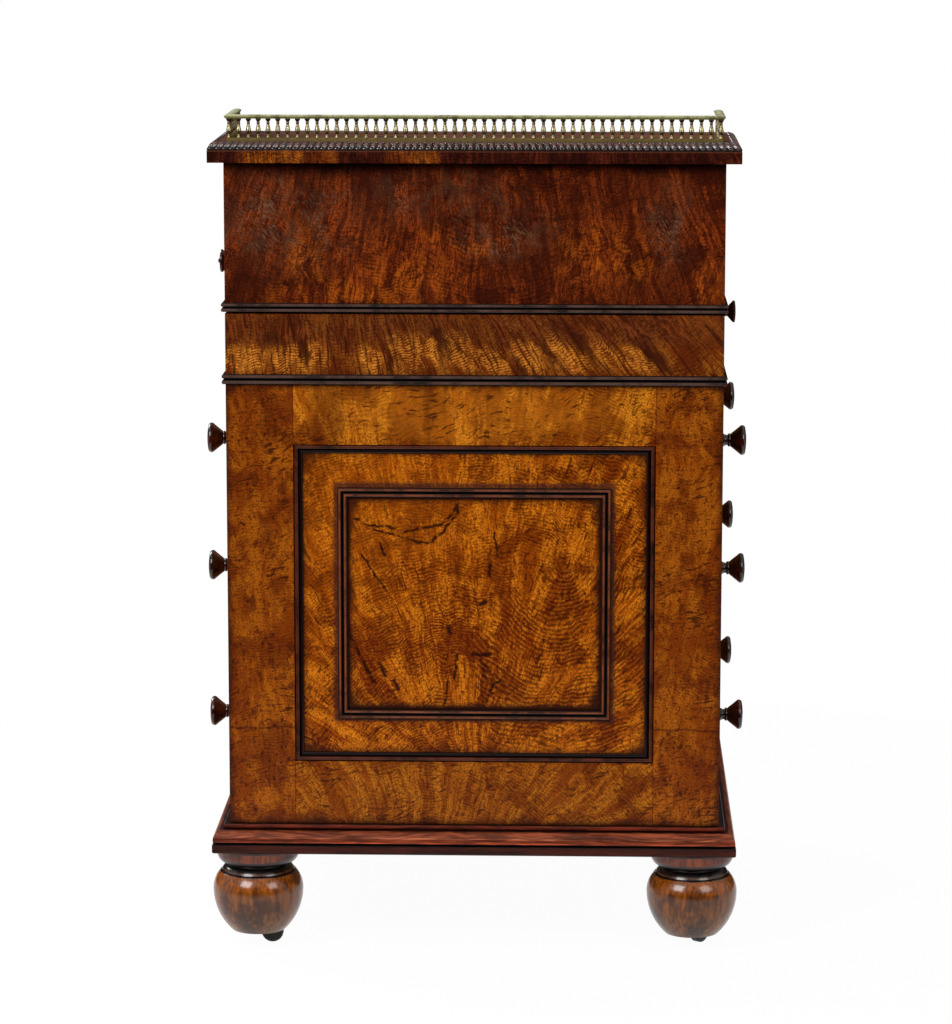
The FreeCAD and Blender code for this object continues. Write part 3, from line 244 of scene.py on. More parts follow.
def make_figured_oak():
    """Fine dark dashes across fibres that spread from a point, ringed round a second point."""
    tree, given, out = new_group("figured oak", [
        ("Vector", "Vector"),
        ("Fan", "Vector"),
        ("Fibres", "Float", 130.0),
        ("Rings", "Vector", (0.0, 0.0, 5.0)),
        ("Ringed", "Vector", (0.0, 0.0, 5.0)),
        ("Reach", "Float", 0.1),
        ("Ripple", "Float", 0.86),
        ("Flame", "Float", 0.5),
        ("Streak", "Float", 0.8),
        ("Light", "Color"),
        ("Body", "Color"),
        ("Deep", "Color"),
        ("Dash", "Color"),
    ], [("Color", "Color"), ("Height", "Float"), ("Figure", "Float")])
    flat = vectors("MULTIPLY", given["Vector"], (1.0, 0.0, 1.0))
    laid = vectors("MULTIPLY_ADD", sway(flat, 16.0), (0.024, 0.0, 0.024), flat)
    from_fan = vectors("SUBTRACT", laid, given["Fan"])
    parts = split(from_fan)
    angle = maths("ARCTAN2", parts["X"], absolute(parts["Z"]))
    radius = vectors("LENGTH", from_fan)
    scallop = streaky(laid, (46.0, 0.0, 10.0), 1.5)
    breaks = noise(laid, 190.0, 3.0, 0.65)
    jitter = noise(laid, 70.0)

    def rows(level, pitch, low, high):
        """Broken rows of dashes along the lines where level is constant."""
        turn = maths("MULTIPLY_ADD", level, math.tau / pitch, times(jitter, 9.0))
        row = maths("SINE", turn)
        return spread(maths("MULTIPLY_ADD", row, 0.12, breaks), low, high)

    crossing = maths("MULTIPLY_ADD", scallop, 0.018, radius)
    circling = maths("MULTIPLY_ADD", scallop, 0.006, vectors("DISTANCE", laid, given["Rings"]))
    near = vectors("DISTANCE", laid, given["Ringed"])
    inside = spread(maths("DIVIDE", near, given["Reach"]), 1.1, 0.8)
    dashes = node("Mix", {0: inside, 2: rows(crossing, dash_pitch, 0.46, 0.62),
                          3: rows(circling, ring_pitch, 0.44, 0.58)}).outputs[0]
    patches = noise(laid, 26.0, 4.0, 0.6)
    dashes = times(dashes, spread(patches, 0.34, 0.58, 0.2, 1.0))
    dashes = times(dashes, given["Ripple"])
    grit = noise(given["Vector"], 620.0, 2.0, 0.6)
    fleck = streaky(laid, (240.0, 0.0, 170.0), 3.0, 0.65)
    fleck = times(spread(fleck, 0.54, 0.62), 0.75)

    turned = times(angle, given["Fibres"])

    def along_fibres(across, along, layer, detail, roughness=0.6):
        """Noise drawn out along the fibres; a layer of its own keeps it apart from the others."""
        spot = joined(times(turned, across), times(radius, along), layer)
        return noise(spot, 1.0, detail, roughness)

    fibre = along_fibres(1.0, 24.0, 0.3, 3.0)
    streak = along_fibres(0.6, 42.0, 7.7, 2.0, 0.5)
    streak = times(spread(streak, 0.61, 0.7), given["Streak"])
    clouds = along_fibres(0.11, 13.0, 4.1, 4.0)
    spots = node("TexVoronoi", {"Vector": laid, "Scale": 105.0}).outputs["Distance"]
    specks = times(spread(spots, 0.24, 0.13), spread(patches, 0.49, 0.55))

    light = maths("ADD", times(fibre, 0.5), times(clouds, 0.5))
    colour = mixed(spread(light, 0.42, 0.58), given["Body"], given["Light"])
    colour = mixed(spread(patches, 0.48, 0.6, 0.0, 0.72), colour, given["Deep"])
    flame = times(spread(clouds, 0.5, 0.38), given["Flame"])
    colour = mixed(flame, colour, given["Deep"])
    colour = mixed(spread(grit, 0.47, 0.6, 0.0, 0.66), colour, given["Deep"])
    colour = mixed(fleck, colour, mixed(0.6, given["Deep"], given["Dash"]))
    colour = mixed(times(dashes, 0.85), colour, given["Dash"])
    figure = larger(streak, times(specks, 0.8))
    colour = mixed(figure, colour, given["Dash"])
    figure = larger(dashes, figure)
    return put_out(tree, out, {"Color": colour, "Height": less(1.0, figure), "Figure": figure})


def make_vein():
    """Mask of one short vein between two points of a back or front face."""
    tree, given, out = new_group("vein", [
        ("Vector", "Vector"), ("From", "Vector"), ("To", "Vector"), ("Width", "Float"),
    ], [("Mask", "Float")])
    flat = vectors("MULTIPLY", given["Vector"], (1.0, 0.0, 1.0))
    run = vectors("SUBTRACT", given["To"], given["From"])
    reach = vectors("SUBTRACT", flat, given["From"])
    share = maths("DIVIDE", vectors("DOT_PRODUCT", reach, run),
                  vectors("DOT_PRODUCT", run, run), clamp=True)
    away = vectors("DISTANCE", reach, scaled(run, share))
    mask = spread(away, given["Width"], times(given["Width"], 0.25))
    return put_out(tree, out, {"Mask": mask})


def make_edge_patina():
    """Dark polish left along the border of a face, wider in its corners."""
    tree, given, out = new_group("edge patina", [
        ("Vector", "Vector"), ("Middle", "Vector"), ("Half", "Vector"), ("Corner", "Float"),
        ("Width", "Float"),
    ], [("Mask", "Float")])
    aside = vectors("SUBTRACT", shaken(given["Vector"], 45.0, 0.012), given["Middle"])
    aside = vectors("ABSOLUTE", aside)
    corner = joined(given["Corner"], given["Corner"], given["Corner"])
    past = vectors("SUBTRACT", vectors("ADD", aside, corner), given["Half"])
    past = vectors("LENGTH", vectors("MAXIMUM", past, (0.0, 0.0, 0.0)))
    start = less(given["Corner"], given["Width"])
    return put_out(tree, out, {"Mask": spread(past, start, given["Corner"])})


def make_streaks():
    """Straight grain: long fine streaks along a stretched space."""
    tree, given, out = new_group("streaks", [
        ("Vector", "Vector"), ("Stretch", "Vector"), ("Waver", "Float"), ("Light", "Color"),
        ("Dark", "Color"),
    ], [("Color", "Color"), ("Streak", "Float")])
    waving = scaled(sway(given["Vector"], 9.0, 2.0), given["Waver"])
    laid = vectors("MULTIPLY", vectors("ADD", given["Vector"], waving), given["Stretch"])
    fine = noise(laid, 1.0, 3.0, 0.6)
    broad = noise(laid, 0.25)
    streak = maths("ADD", times(fine, 0.6), times(broad, 0.4))
    streak = spread(streak, 0.36, 0.64)
    colour = mixed(streak, given["Dark"], given["Light"])
    return put_out(tree, out, {"Color": colour, "Streak": streak})


def make_short_strokes():
    """Mask of short dark strokes, slanting and in loose clusters."""
    tree, given, out = new_group("short strokes", [
        ("Vector", "Vector"), ("Stretch", "Vector"), ("Slant", "Float"), ("Lean", "Float"),
        ("Low", "Float"), ("High", "Float"),
    ], [("Mask", "Float")])
    parts = split(given["Vector"])
    bend = noise(given["Vector"], 12.0)
    high = maths("MULTIPLY_ADD", parts["X"], given["Slant"],
                 maths("MULTIPLY_ADD", bend, 0.05, parts["Z"]))
    wide = maths("MULTIPLY_ADD", parts["Z"], given["Lean"],
                 maths("MULTIPLY_ADD", bend, 0.02, parts["X"]))
    mark = streaky(joined(wide, high), given["Stretch"], 2.0, 0.55)
    cluster = noise(given["Vector"], 30.0, 3.0)
    mark = maths("MULTIPLY_ADD", less(cluster, 0.5), 0.5, mark)
    return put_out(tree, out, {"Mask": spread(mark, given["Low"], given["High"])})


figured_group = make_figured_oak()
stroke_group = make_short_strokes()
vein_group = make_vein()
patina_group = make_edge_patina()
streak_group = make_streaks()


def figured(place, fan, tints, **settings):
    """Figured oak; the tints are for its light fibres, its body, its deep parts and its dashes."""
    sockets = {label: tone(*tint) for label, tint in zip(("Light", "Body", "Deep", "Dash"), tints)}
    return use(figured_group, {"Vector": place, "Fan": fan, **sockets, **settings})


def board(place, stretch, light, dark, waver=0.02):
    """Straight-grained wood."""
    return use(streak_group, {"Vector": place, "Stretch": stretch, "Waver": waver,
                              "Light": tone(*light), "Dark": tone(*dark)})


def short_strokes(place, stretch, low, high, slant=0.0, lean=0.0):
    """Mask of short strokes, fewer and smaller the higher low and high are."""
    return use(stroke_group, {"Vector": place, "Stretch": stretch, "Slant": slant, "Lean": lean,
                              "Low": low, "High": high})["Mask"]


def patina(place, middle, half, corner, width):
    """Mask of the dark border of a face that reaches half to each side of its middle."""
    return use(patina_group, {"Vector": place, "Middle": middle, "Half": half, "Corner": corner,
                              "Width": width})["Mask"]


def strokes(place, lines):
    """Mask of veins and strokes; each is a route of (x, z) points in millimetres and a width."""
    mask = 0.0
    for route, thick in lines:
        for (x, z), (next_x, next_z) in zip(route, route[1:]):
            one = use(vein_group, {
                "Vector": place, "From": (x / 1000, 0, z / 1000),
                "To": (next_x / 1000, 0, next_z / 1000), "Width": thick / 1000})["Mask"]
            mask = larger(mask, one)
    uneven = noise(place, 130.0)
    return times(mask, spread(uneven, 0.34, 0.5, 0.25, 1.0))


def blots(place, spots, soft=0.6):
    """Mask of soft oval patches, each (x, z, half width, half height) in millimetres."""
    mask = 0.0
    for x, z, wide, tall in spots:
        reach = vectors("SUBTRACT", place, (x / 1000, 0.0, z / 1000))
        reach = vectors("MULTIPLY", reach, (1000 / wide, 0.0, 1000 / tall))
        mask = larger(mask, spread(vectors("LENGTH", reach), 1 + soft, 1 - soft))
    return mask


def unfolded(place, face):
    """Place laid out flat as (along, 0, up), so that figure also runs round a board's edges."""
    if face == "flat":
        return place
    parts = split(place)
    along, up = parts["X"], parts["Z"]
    if face == "back":
        along = maths("ADD", along, less(absolute(parts["Y"]), case_half.y))
    elif face == "side":
        along = maths("ADD", parts["Y"], less(absolute(parts["X"]), case_half.x))
    elif face == "top":
        up = maths("ADD", up, parts["Y"])
    return joined(along, up)


def banded(value, bands, soft=0.0004):
    """Colour that changes with value: bands are (level in mm, tint) from the lowest up."""
    colour = tone(*bands[0][1])
    for level, tint in bands[1:]:
        step = spread(value, level / 1000 - soft, level / 1000 + soft)
        colour = mixed(step, colour, tone(*tint))
    return colour


# -------------------- finishes
# figured oak's usual tints: its light fibres, its body, its deep parts and its dashes
honey = ((202, 115, 20), (154, 72, 6), (98, 35, 2), (54, 13, 3))


def shader_of(material):
    return material.node_tree.nodes["Principled BSDF"]


def new_finish(name, roughness=0.5, specular=0.5, metallic=0.0):
    """A material; returns it and the place of each point of a piece."""
    material = bpy.data.materials.new(name)
    material.use_nodes = True
    plain = {"Roughness": roughness, "Specular IOR Level": specular, "Metallic": metallic}
    for label, value in plain.items():
        shader_of(material).inputs[label].default_value = value
    return material, node("TexCoord", {}, material.node_tree).outputs["Object"]


def finished(material, colour, height=None, strength=0.0, distance=0.0003):
    """Gives a material its colour and the small relief of its grain, and returns it."""
    link(colour, shader_of(material).inputs["Base Color"])
    if height is not None:
        bump = node("Bump", {"Height": height, "Strength": strength, "Distance": distance})
        link(bump.outputs["Normal"], shader_of(material).inputs["Normal"])
    return material


def oak(name, fan, tints=honey, then=None, face="back", specular=0.08, **settings):
    """Figured oak on a face; then(place, colour, figure) adds what is its own."""
    material, place = new_finish(name, 0.3, specular)
    figure = figured(unfolded(place, face), fan, tints, **settings)
    colour = figure["Color"]
    if then:
        colour = then(place, colour, figure)
    return finished(material, colour, figure["Height"], 0.15)


def veneer(name, light, dark, stretch, specular=0.3, roughness=0.3, faced_from=None, tints=honey):
    """Straight-grained wood, faced with figured oak past faced_from (metres to the writer's right)."""
    material, place = new_finish(name, roughness, specular)
    plain = board(place, stretch, light, dark)
    clouds = noise(place, 14.0, 3.0)
    colour = mixed(spread(clouds, 0.58, 0.35, 0.0, 0.45), plain["Color"], tone(*dark))
    if faced_from:
        front = spread(axis_of(place, "X"), faced_from, faced_from + 0.0004)
        facing = figured(unfolded(place, "side"), (0.0, 0.0, -1.0), tints, Fibres=460.0)
        colour = mixed(front, colour, facing["Color"])
    return finished(material, colour, plain["Streak"], 0.08, 0.0002)


def stand_out(place, kind):
    """How far a point of a moulding stands out from its ground, in metres."""
    across, deep = (axis_of(place, axis, True) for axis in ("X", "Y"))
    if kind == "panel":
        return less(deep, panel_face)
    return larger(less(across, case_half.x), less(deep, case_half.y))


def moulding_wood(name, kind, levels, groove, ridge, worn, specular, roughness):
    """Polished moulding, black in its grooves from dirt and painted shade, browner on its ridges, and worn
    along their crests in a tint that is also a painted highlight.
    """
    material, place = new_finish(name, roughness, specular)
    out = stand_out(place, kind)
    wear = noise(place, 42.0, 4.0, 0.6)
    low, mid, high = levels
    # dirt and painted shade: black in the grooves
    colour = mixed(spread(out, low, mid), tone(*groove), tone(*ridge))
    # wear and painted highlight: the worn tint on the crests
    crest = times(spread(out, mid, high), spread(wear, 0.3, 0.62, 0.15, 1.0))
    return finished(material, mixed(crest, colour, tone(*worn)), wear, 0.1)


def dark_wood(name, body, worn, specular, roughness):
    """Near-black turned wood, redder in soft patches."""
    material, place = new_finish(name, roughness, specular)
    wear = noise(place, 55.0, 4.0, 0.6)
    colour = mixed(spread(wear, 0.42, 0.66), tone(*body), tone(*worn))
    return finished(material, colour, wear, 0.08)


def banded_wood(name, bands, stretch, specular, roughness, streaked, stained, stain_stretch):
    """Wood whose colour changes with height, streaked along its grain and stained in patches."""
    material, place = new_finish(name, roughness, specular)
    colour = banded(axis_of(shaken(place, 60.0, 0.0012), "Z"), bands)
    grain = board(place, stretch, (255, 236, 222), (120, 92, 84))
    colour = mixed(streaked, colour, mixed(1.0, colour, grain["Color"], "MULTIPLY"))
    stains = streaky(place, stain_stretch, 5.0, 0.65)
    colour = mixed(spread(stains, 0.5, 0.6, 0.0, stained), colour, tone(34, 13, 8))
    return finished(material, colour, grain["Streak"], 0.08, 0.0002)


def carved_wood(name, hollow, foot, crest, roughness):
    """Dark carved wood, its raised parts worn red at the top of the edge and given a grey painted highlight
    at its foot.
    """
    material, place = new_finish(name, roughness, 0.8)
    worn = node("Attribute", {}, material.node_tree, attribute_name="worn").outputs["Fac"]
    amount = times(worn, spread(noise(place, 90.0, 3.0), 0.3, 0.65, 0.35, 1.0))
    # red wear high on the edge, grey painted highlight at its foot
    upper = spread(axis_of(place, "Z"), shelf_high.z - 0.006, shelf_high.z - 0.003)
    wear_and_highlight_tint = mixed(upper, tone(*foot), tone(*crest))
    return finished(material, mixed(amount, tone(*hollow), wear_and_highlight_tint))


stamp_pitch = 0.009           # length of the wave that lays out the gilt stamps
stamp_row = (-0.021, -0.0125)                    # how far the stamps lie in from the leather's edge
gilt_lines = ((-0.0115, -0.0103), (-0.0232, -0.0225))            # and the two lines beside them


def tooled_leather():
    """Worn green leather with two gilt lines and a row of small gilt stamps between them."""
    material, place = new_finish("green leather", 0.45, 0.35)
    parts = split(place)
    across = less(absolute(parts["X"]), leather_high.x)
    deep = absolute(less(parts["Y"], (leather_low.y + leather_high.y) / 2))
    deep = less(deep, (leather_high.y - leather_low.y) / 2)
    past = larger(across, deep)
    colour = mixed(spread(noise(place, 16.0, 5.0, 0.6), 0.38, 0.64), tone(24, 48, 29), tone(38, 64, 37))
    colour = tinted(colour, blots(place, ((0, 0, 130, 400),), 0.7), 0.3, (62, 84, 52))
    colour = tinted(colour, spread(past, -0.004, 0.0), 0.6, (16, 26, 18))
    waves = [maths("SINE", times(run, math.tau / stamp_pitch))
             for run in (maths("ADD", parts["X"], parts["Y"]), past)]
    gilt = times(spread(times(*waves), 0.25, 0.45), band(past, *stamp_row, 0.0004))
    for low, high in gilt_lines:
        gilt = larger(gilt, band(past, low, high, 0.0003))
    rubbed = spread(noise(place, 120.0, 3.0), 0.3, 0.55, 0.35, 1.0)
    colour = tinted(colour, times(gilt, rubbed), 0.9, (176, 138, 62))
    grain = node("TexVoronoi", {"Vector": place, "Scale": 900.0}).outputs["Distance"]
    return finished(material, colour, grain, 0.15)


def metal(name, bands, tarnish, roughness=0.32, worn=0.5, metallic=1.0):
    """Old polished metal, tinted by height and tarnished in patches."""
    material, place = new_finish(name, metallic=metallic)
    age = noise(place, 90.0, 5.0, 0.65)
    colour = banded(axis_of(place, "Z"), bands, 0.0005)
    colour = mixed(spread(age, 0.44, 0.66, 0.0, worn), colour, tone(*tarnish))
    dullness = spread(age, 0.35, 0.7, roughness, roughness + 0.15)
    link(dullness, shader_of(material).inputs["Roughness"])
    return finished(material, colour)


# -------------------- shapes
def finish_piece(name, shape, body, material, sharp):
    """Makes an object of a bmesh, smooth except at edges sharper than sharp, riding on a body."""
    mesh = bpy.data.meshes.new(name)
    for face in shape.faces:
        face.smooth = True
    shape.to_mesh(mesh)
    shape.free()
    mesh.set_sharp_from_angle(angle=math.radians(sharp))
    mesh.materials.append(material)
    piece = bpy.data.objects.new(name, mesh)
    bpy.context.scene.collection.objects.link(piece)
    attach(piece, body)


def slot_of(node_name):
    for part in frame["record"]["subparts"]:
        if part["node"] == node_name:
            return part["material_slot"]


def dress(node_name, material):
    mesh = nodes[node_name].data
    mesh.materials.clear()
    mesh.materials.append(material)


# -------------------- carved edge of the shelf
edge_run = 0.012              # how far the sloped edge runs out past the shelf's flat top
edge_rise = 0.0089
edge_low = shelf_high.z - edge_rise
edge_bend = (0.72, 0.62)      # shares of the run and the rise where its curve passes
lappet_pitch = 0.0071
lappet_sides = 10
lappet_foot = 0.5             # how much narrower a lappet is at its foot
lappet_span = (0.05, 0.9)     # shares of the sloped edge where a lappet starts and ends
lappet_root = -0.0004         # its underside, let into the edge
# each step inwards: inset as a share of the width, height off the edge, and how far it takes the worn tint
# (red wear high up, grey painted highlight at the foot)
lappet_steps = ((0.03, 0.0007, 0.3), (0.06, 0.0009, 0.45), (0.08, 0.0001, 0.0), (0.08, 0.001, 0.75),
                (0.12, 0.0014, 1.0))


def edge_circle():
    """Centre, radius, and the angles of foot and top of the sloped edge's curve."""
    foot, top = (edge_run, 0.0), (0.0, edge_rise)
    bend = (edge_bend[0] * edge_run, edge_bend[1] * edge_rise)
    rows, sums = [], []
    for point in (bend, top):
        rows.append((2 * (point[0] - foot[0]), 2 * (point[1] - foot[1])))
        sums.append(point[0] ** 2 + point[1] ** 2 - foot[0] ** 2 - foot[1] ** 2)
    centre = Matrix(rows).inverted() @ Vector(sums)
    reach = Vector(foot) - centre
    foot_angle = math.atan2(reach.y, reach.x)
    top_angle = math.atan2(top[1] - centre.y, top[0] - centre.x)
    return centre, reach.length, foot_angle, top_angle


edge_centre, edge_radius, edge_foot, edge_top = edge_circle()


def lay_on_edge(run, along, up, lift):
    """A point of a run of the sloped edge: share along it, share up it, and height off it."""
    angle = edge_foot + (edge_top - edge_foot) * up
    out = edge_centre.x + (edge_radius + lift) * math.cos(angle)
    high = edge_low + edge_centre.y + (edge_radius + lift) * math.sin(angle)
    side = shelf_high.x - edge_run + out
    rear = shelf_high.y - edge_run + out
    if run == "rear":
        return Vector((side * (1 - 2 * along), rear, high))
    if run == "plus":
        return Vector((side, shelf_low.y + (rear - shelf_low.y) * along, high))
    return Vector((-side, rear - (rear - shelf_low.y) * along, high))


def shape_lappet(shape, worn):
    """One lappet on a flat square of side 1: a rim with a hollow inside it and an egg in the hollow."""
    made = bmesh.ops.create_cone(shape, cap_ends=True, segments=lappet_sides, radius1=0.5, radius2=0.5,
                                 depth=1.0)
    crown = next(face for vert in made["verts"] for face in vert.link_faces
                 if min(corner.co.z for corner in face.verts) > 0)
    for vert in made["verts"]:
        vert.co.z = lappet_root if vert.co.z < 0 else 0.0
    for inset, lift, red in lappet_steps:
        bmesh.ops.inset_region(shape, faces=[crown], thickness=inset)
        for vert in crown.verts:
            vert.co.z = lift
            vert[worn] = red
    for vert in shape.verts:
        vert.co.x *= 1 - lappet_foot * max(0.0, -vert.co.y) ** 1.5
    return shape.verts[:] + shape.edges[:] + shape.faces[:]


def carve_edge(material):
    """A row of lappets laid along each run of the shelf's sloped edge."""
    shape = bmesh.new()
    worn = shape.verts.layers.float.new("worn")
    pattern = shape_lappet(shape, worn)
    low, high = lappet_span
    side = shelf_high.y - shelf_low.y - edge_run / 2
    for run, length in (("rear", 2 * shelf_high.x - edge_run), ("plus", side), ("minus", side)):
        count = round(length / lappet_pitch)
        for i in range(count):
            copy = bmesh.ops.duplicate(shape, geom=pattern)["geom"]
            for vert in [part for part in copy if isinstance(part, bmesh.types.BMVert)]:
                x, y, lift = vert.co
                vert.co = lay_on_edge(run, (i + 0.5 + x) / count, low + (high - low) * (y + 0.5), lift)
    bmesh.ops.delete(shape, geom=pattern, context="VERTS")
    body, slot = nodes["shelf_board"]["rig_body"], slot_of("shelf_board")
    finish_piece("carved_lappets", shape, body, material, 50)


# -------------------- stage and light
floor_radius = 1.05
floor_white = 0.965           # share of pure white in the floor where it is seen
world_light = 0.75            # strength of the surroundings as a light
lamps = (                     # name, place, aim, power and size
    ("left softbox", (1.7, 2.4, 2.3), (0, 0.2, 0.5), 85, 1.5),
    ("right softbox", (-1.9, 2.2, 1.9), (0, 0.2, 0.5), 34, 1.4),
    ("front softbox", (2.4, -2.0, 2.4), (0, -0.2, 0.5), 90, 1.5),
)


def on_rays(tree, *kinds):
    """1 on rays of the kinds named, such as Camera, and 0 on others."""
    path = node("LightPath", {}, tree).outputs
    seen = 0.0
    for kind in kinds:
        seen = larger(seen, path[f"Is {kind} Ray"])
    return seen


def make_stage():
    """A white round floor that takes shadows, but looks nearly as white as what is behind it."""
    shape = bmesh.new()
    bmesh.ops.create_circle(shape, cap_ends=True, segments=96, radius=floor_radius)
    mesh = bpy.data.meshes.new("floor")
    shape.to_mesh(mesh)
    shape.free()
    floor = bpy.data.objects.new("floor", mesh)
    bpy.context.scene.collection.objects.link(floor)
    material = new_finish("white floor", 0.6, 0.1)[0]
    tree, shader = material.node_tree, shader_of(material)
    shader.inputs["Base Color"].default_value = (0.85, 0.85, 0.85, 1)
    seen = times(on_rays(tree, "Camera", "Glossy", "Transmission"), floor_white)
    glow = node("Emission", {"Color": (1, 1, 1, 1), "Strength": 1.0}, tree)
    mix = node("MixShader", {0: seen, 1: shader.outputs[0], 2: glow.outputs[0]})
    link(mix.outputs[0], tree.nodes["Material Output"].inputs["Surface"])
    mesh.materials.append(material)


def make_world():
    """White where it is seen; as a light it is bright at the sides and overhead, and dark in front
    of the desk and behind it."""
    world = bpy.data.worlds.new("studio")
    bpy.context.scene.world = world
    world.use_nodes = True
    tree = world.node_tree
    tree.nodes.clear()
    towards = split(node("TexCoord", {}, tree).outputs["Generated"])
    sides = spread(absolute(towards["Y"]), 0.05, 0.75, 1.0, 0.02)
    overhead = spread(towards["Z"], 0.15, 0.9, 0.0, 0.9)
    light = times(larger(sides, overhead), world_light)
    strength = larger(light, on_rays(tree, "Camera", "Transmission"))
    background = node("Background", {"Color": (1, 1, 1, 1), "Strength": strength})
    node("OutputWorld", {"Surface": background.outputs[0]})


def make_lamp(name, place, target, power, size):
    data = bpy.data.lights.new(name, "AREA")
    data.energy = power
    data.size = size
    lamp = bpy.data.objects.new(name, data)
    lamp.location = place
    lamp.rotation_euler = (Vector(target) - Vector(place)).to_track_quat("-Z", "Y").to_euler()
    bpy.context.scene.collection.objects.link(lamp)


# -------------------- framed panels
panel_middle = (0.0, 0.244, 0.376)               # middle and half size of the sunk panel's dark border
panel_half = (0.186, 0.1, 0.167)
field_width = 0.0102          # width of the planted moulding
field_low, field_high = corners("back_field_moulding")
field_half = Vector(((field_high.x - field_low.x) / 2, (field_high.z - field_low.z) / 2))
field_half -= Vector((field_width, field_width))
dark_edge = (40, 15, 9)

# the back panel's clusters of darker rows, as ovals for blots
panel_clusters = ((35, 347, 42, 30), (-45, 345, 24, 36), (118, 326, 16, 22), (5, 382, 32, 10),
                  (-5, 320, 30, 11), (104, 290, 20, 12), (60, 412, 26, 14))
# routes of its veins, cracks and dark strokes, and their widths, in millimetres
panel_strokes = (
    ([(128, 467), (111, 459), (100, 459), (83, 456)], 2.2),
    ([(106, 455), (82, 448), (55, 440), (49, 440), (36, 449), (18, 473), (18, 481)], 2.4),
    ([(82, 449), (59, 456), (34, 460), (29, 466), (19, 478)], 2.2),
    ([(131, 340), (119, 314), (106, 290)], 2.6),
    ([(99, 310), (94, 297)], 2.8),
    ([(85, 293), (80, 282)], 2.8),
    ([(28, 291), (31, 269)], 2.0),
    ([(17, 321), (21, 295)], 2.2),
    ([(-16, 416), (-16, 405)], 2.4),
    ([(-21, 452), (-24, 427)], 1.8),
    ([(28, 351), (25, 343)], 3.6),
    ([(-6, 375), (-12, 377)], 4.0),
    ([(57, 377), (55, 371)], 2.4),
    ([(0, 321), (-17, 320)], 3.2),
    ([(-6, 314), (-17, 304)], 2.6),
    ([(-10, 298), (-20, 289), (-27, 292)], 2.6),
    ([(-20, 289), (-11, 265)], 2.4),
    ([(120, 430), (104, 405), (87, 381)], 1.8),
    ([(100, 441), (90, 415)], 2.0),
)


def finish_panel(place, colour, figure):
    """Painted light on the upper corner, clusters of darker rows, veins and cracks."""
    # painted light: the upper corner made lighter, where the light falls
    colour = tinted(colour, blots(place, ((110, 470, 120, 90),), 0.8), 0.16, (184, 96, 12))
    rows = blots(shaken(place, 40.0, 0.04), panel_clusters, 0.7)
    rows = times(rows, spread(figure["Figure"], 0.05, 0.4, 0.3, 1.0))
    colour = tinted(colour, rows, 0.8, (84, 26, 3))
    lines = strokes(shaken(place, 140.0, 0.006), panel_strokes)
    colour = tinted(colour, lines, 0.92, (30, 9, 5))
    return finish_panel_edges(place, colour, figure)


def finish_panel_edges(place, colour, figure):
    """Dark polish in the corners; painted shadow just inside the planted moulding, and a band just outside
    it that is partly dark polish and partly painted shade.
    """
    place = vectors("ABSOLUTE", place)
    parts = split(shaken(place, 60.0, 0.003))
    across = less(absolute(parts["X"]), field_half.x)
    tall = absolute(less(parts["Z"], panel_middle[2]))
    past = larger(across, less(tall, field_half.y))
    # painted shadow: a near-black band just inside the planted moulding
    inner = band(past, -0.0025, 0.003, 0.0025)
    colour = tinted(colour, inner, 0.92, (22, 8, 5))
    # partly dark polish, partly painted shade: a band just outside the planted moulding
    outer = band(past, field_width - 0.002, field_width + 0.0042, 0.0022)
    colour = tinted(colour, outer, 0.75, (64, 32, 26))
    edge = patina(place, panel_middle, panel_half, 0.03, 0.015)
    colour = tinted(colour, edge, 0.85, dark_edge)
    # partly dark polish, partly painted shade: darker along the inside of the planted moulding, wider in
    # its corners
    edge = patina(place, panel_middle, (field_half.x, 0.1, field_half.y), 0.024, 0.011)
    edge = times(edge, spread(past, 0.004, 0.0))
    return tinted(colour, edge, 0.85, dark_edge)


joint = 0.1897                # seam between stile and rail, from the middle
frame_middle = (0.0, 0.25, 0.3733)               # middle and half size of the frame's dark border
frame_half = (0.262, 0.1, 0.2375)
frame_marks = ((0.153, 0.016), (0.048, 0.004))   # middle and half width of the top rail's dark marks
stile_crack = 0.2415          # height of the crack across each stile
stile_tints = ((160, 86, 14), (128, 58, 6), (92, 34, 5), (50, 14, 5))


def finish_frame(place, colour, figure):
    """Rails darker at the foot and marked at the top, painted light across the top rail, plainer
    stiles, cracks, thin dark seams and dark polish round the edge."""
    across = axis_of(place, "X", True)
    high = axis_of(place, "Z")
    colour = tinted(colour, spread(high, 0.3, 0.2), 0.38, (92, 38, 2))
    # painted light: a lighter golden band across the top rail, where the light falls
    glow = blots(shaken(place, 30.0, 0.05), ((20, 580, 170, 30),), 0.5)
    colour = tinted(colour, glow, 0.25, (206, 120, 26))
    wavering = axis_of(shaken(place, 50.0, 0.02), "X")
    for middle, half in frame_marks:
        mark = band(wavering, middle - half, middle + half, 0.004)
        mark = times(mark, spread(high, 0.5, 0.55))
        colour = tinted(colour, mark, 0.5, (70, 24, 4))
    stile = spread(across, joint, joint + 0.0002)
    plain = figured(unfolded(place, "back"), (0.0, 0.0, -1.6), stile_tints, Fibres=300.0,
                    Ripple=0.5, Streak=0.5, Flame=0.3)
    colour = mixed(stile, colour, plain["Color"])
    marks = short_strokes(place, (60.0, 0.0, 330.0), 0.6, 0.7, slant=0.3)
    colour = tinted(colour, marks, 0.85, (52, 18, 6))
    crack = axis_of(shaken(place, 40.0, 0.008), "Z")
    crack = band(crack, stile_crack - 0.001, stile_crack + 0.001, 0.0015)
    colour = tinted(colour, times(crack, stile), 0.75, (50, 16, 6))
    seam = band(across, joint - 0.0003, joint + 0.0003, 0.0002)
    colour = tinted(colour, seam, 0.85, (34, 10, 5))
    edge = patina(vectors("ABSOLUTE", place), frame_middle, frame_half, 0.014, 0.011)
    return tinted(colour, edge, 0.8, dark_edge)


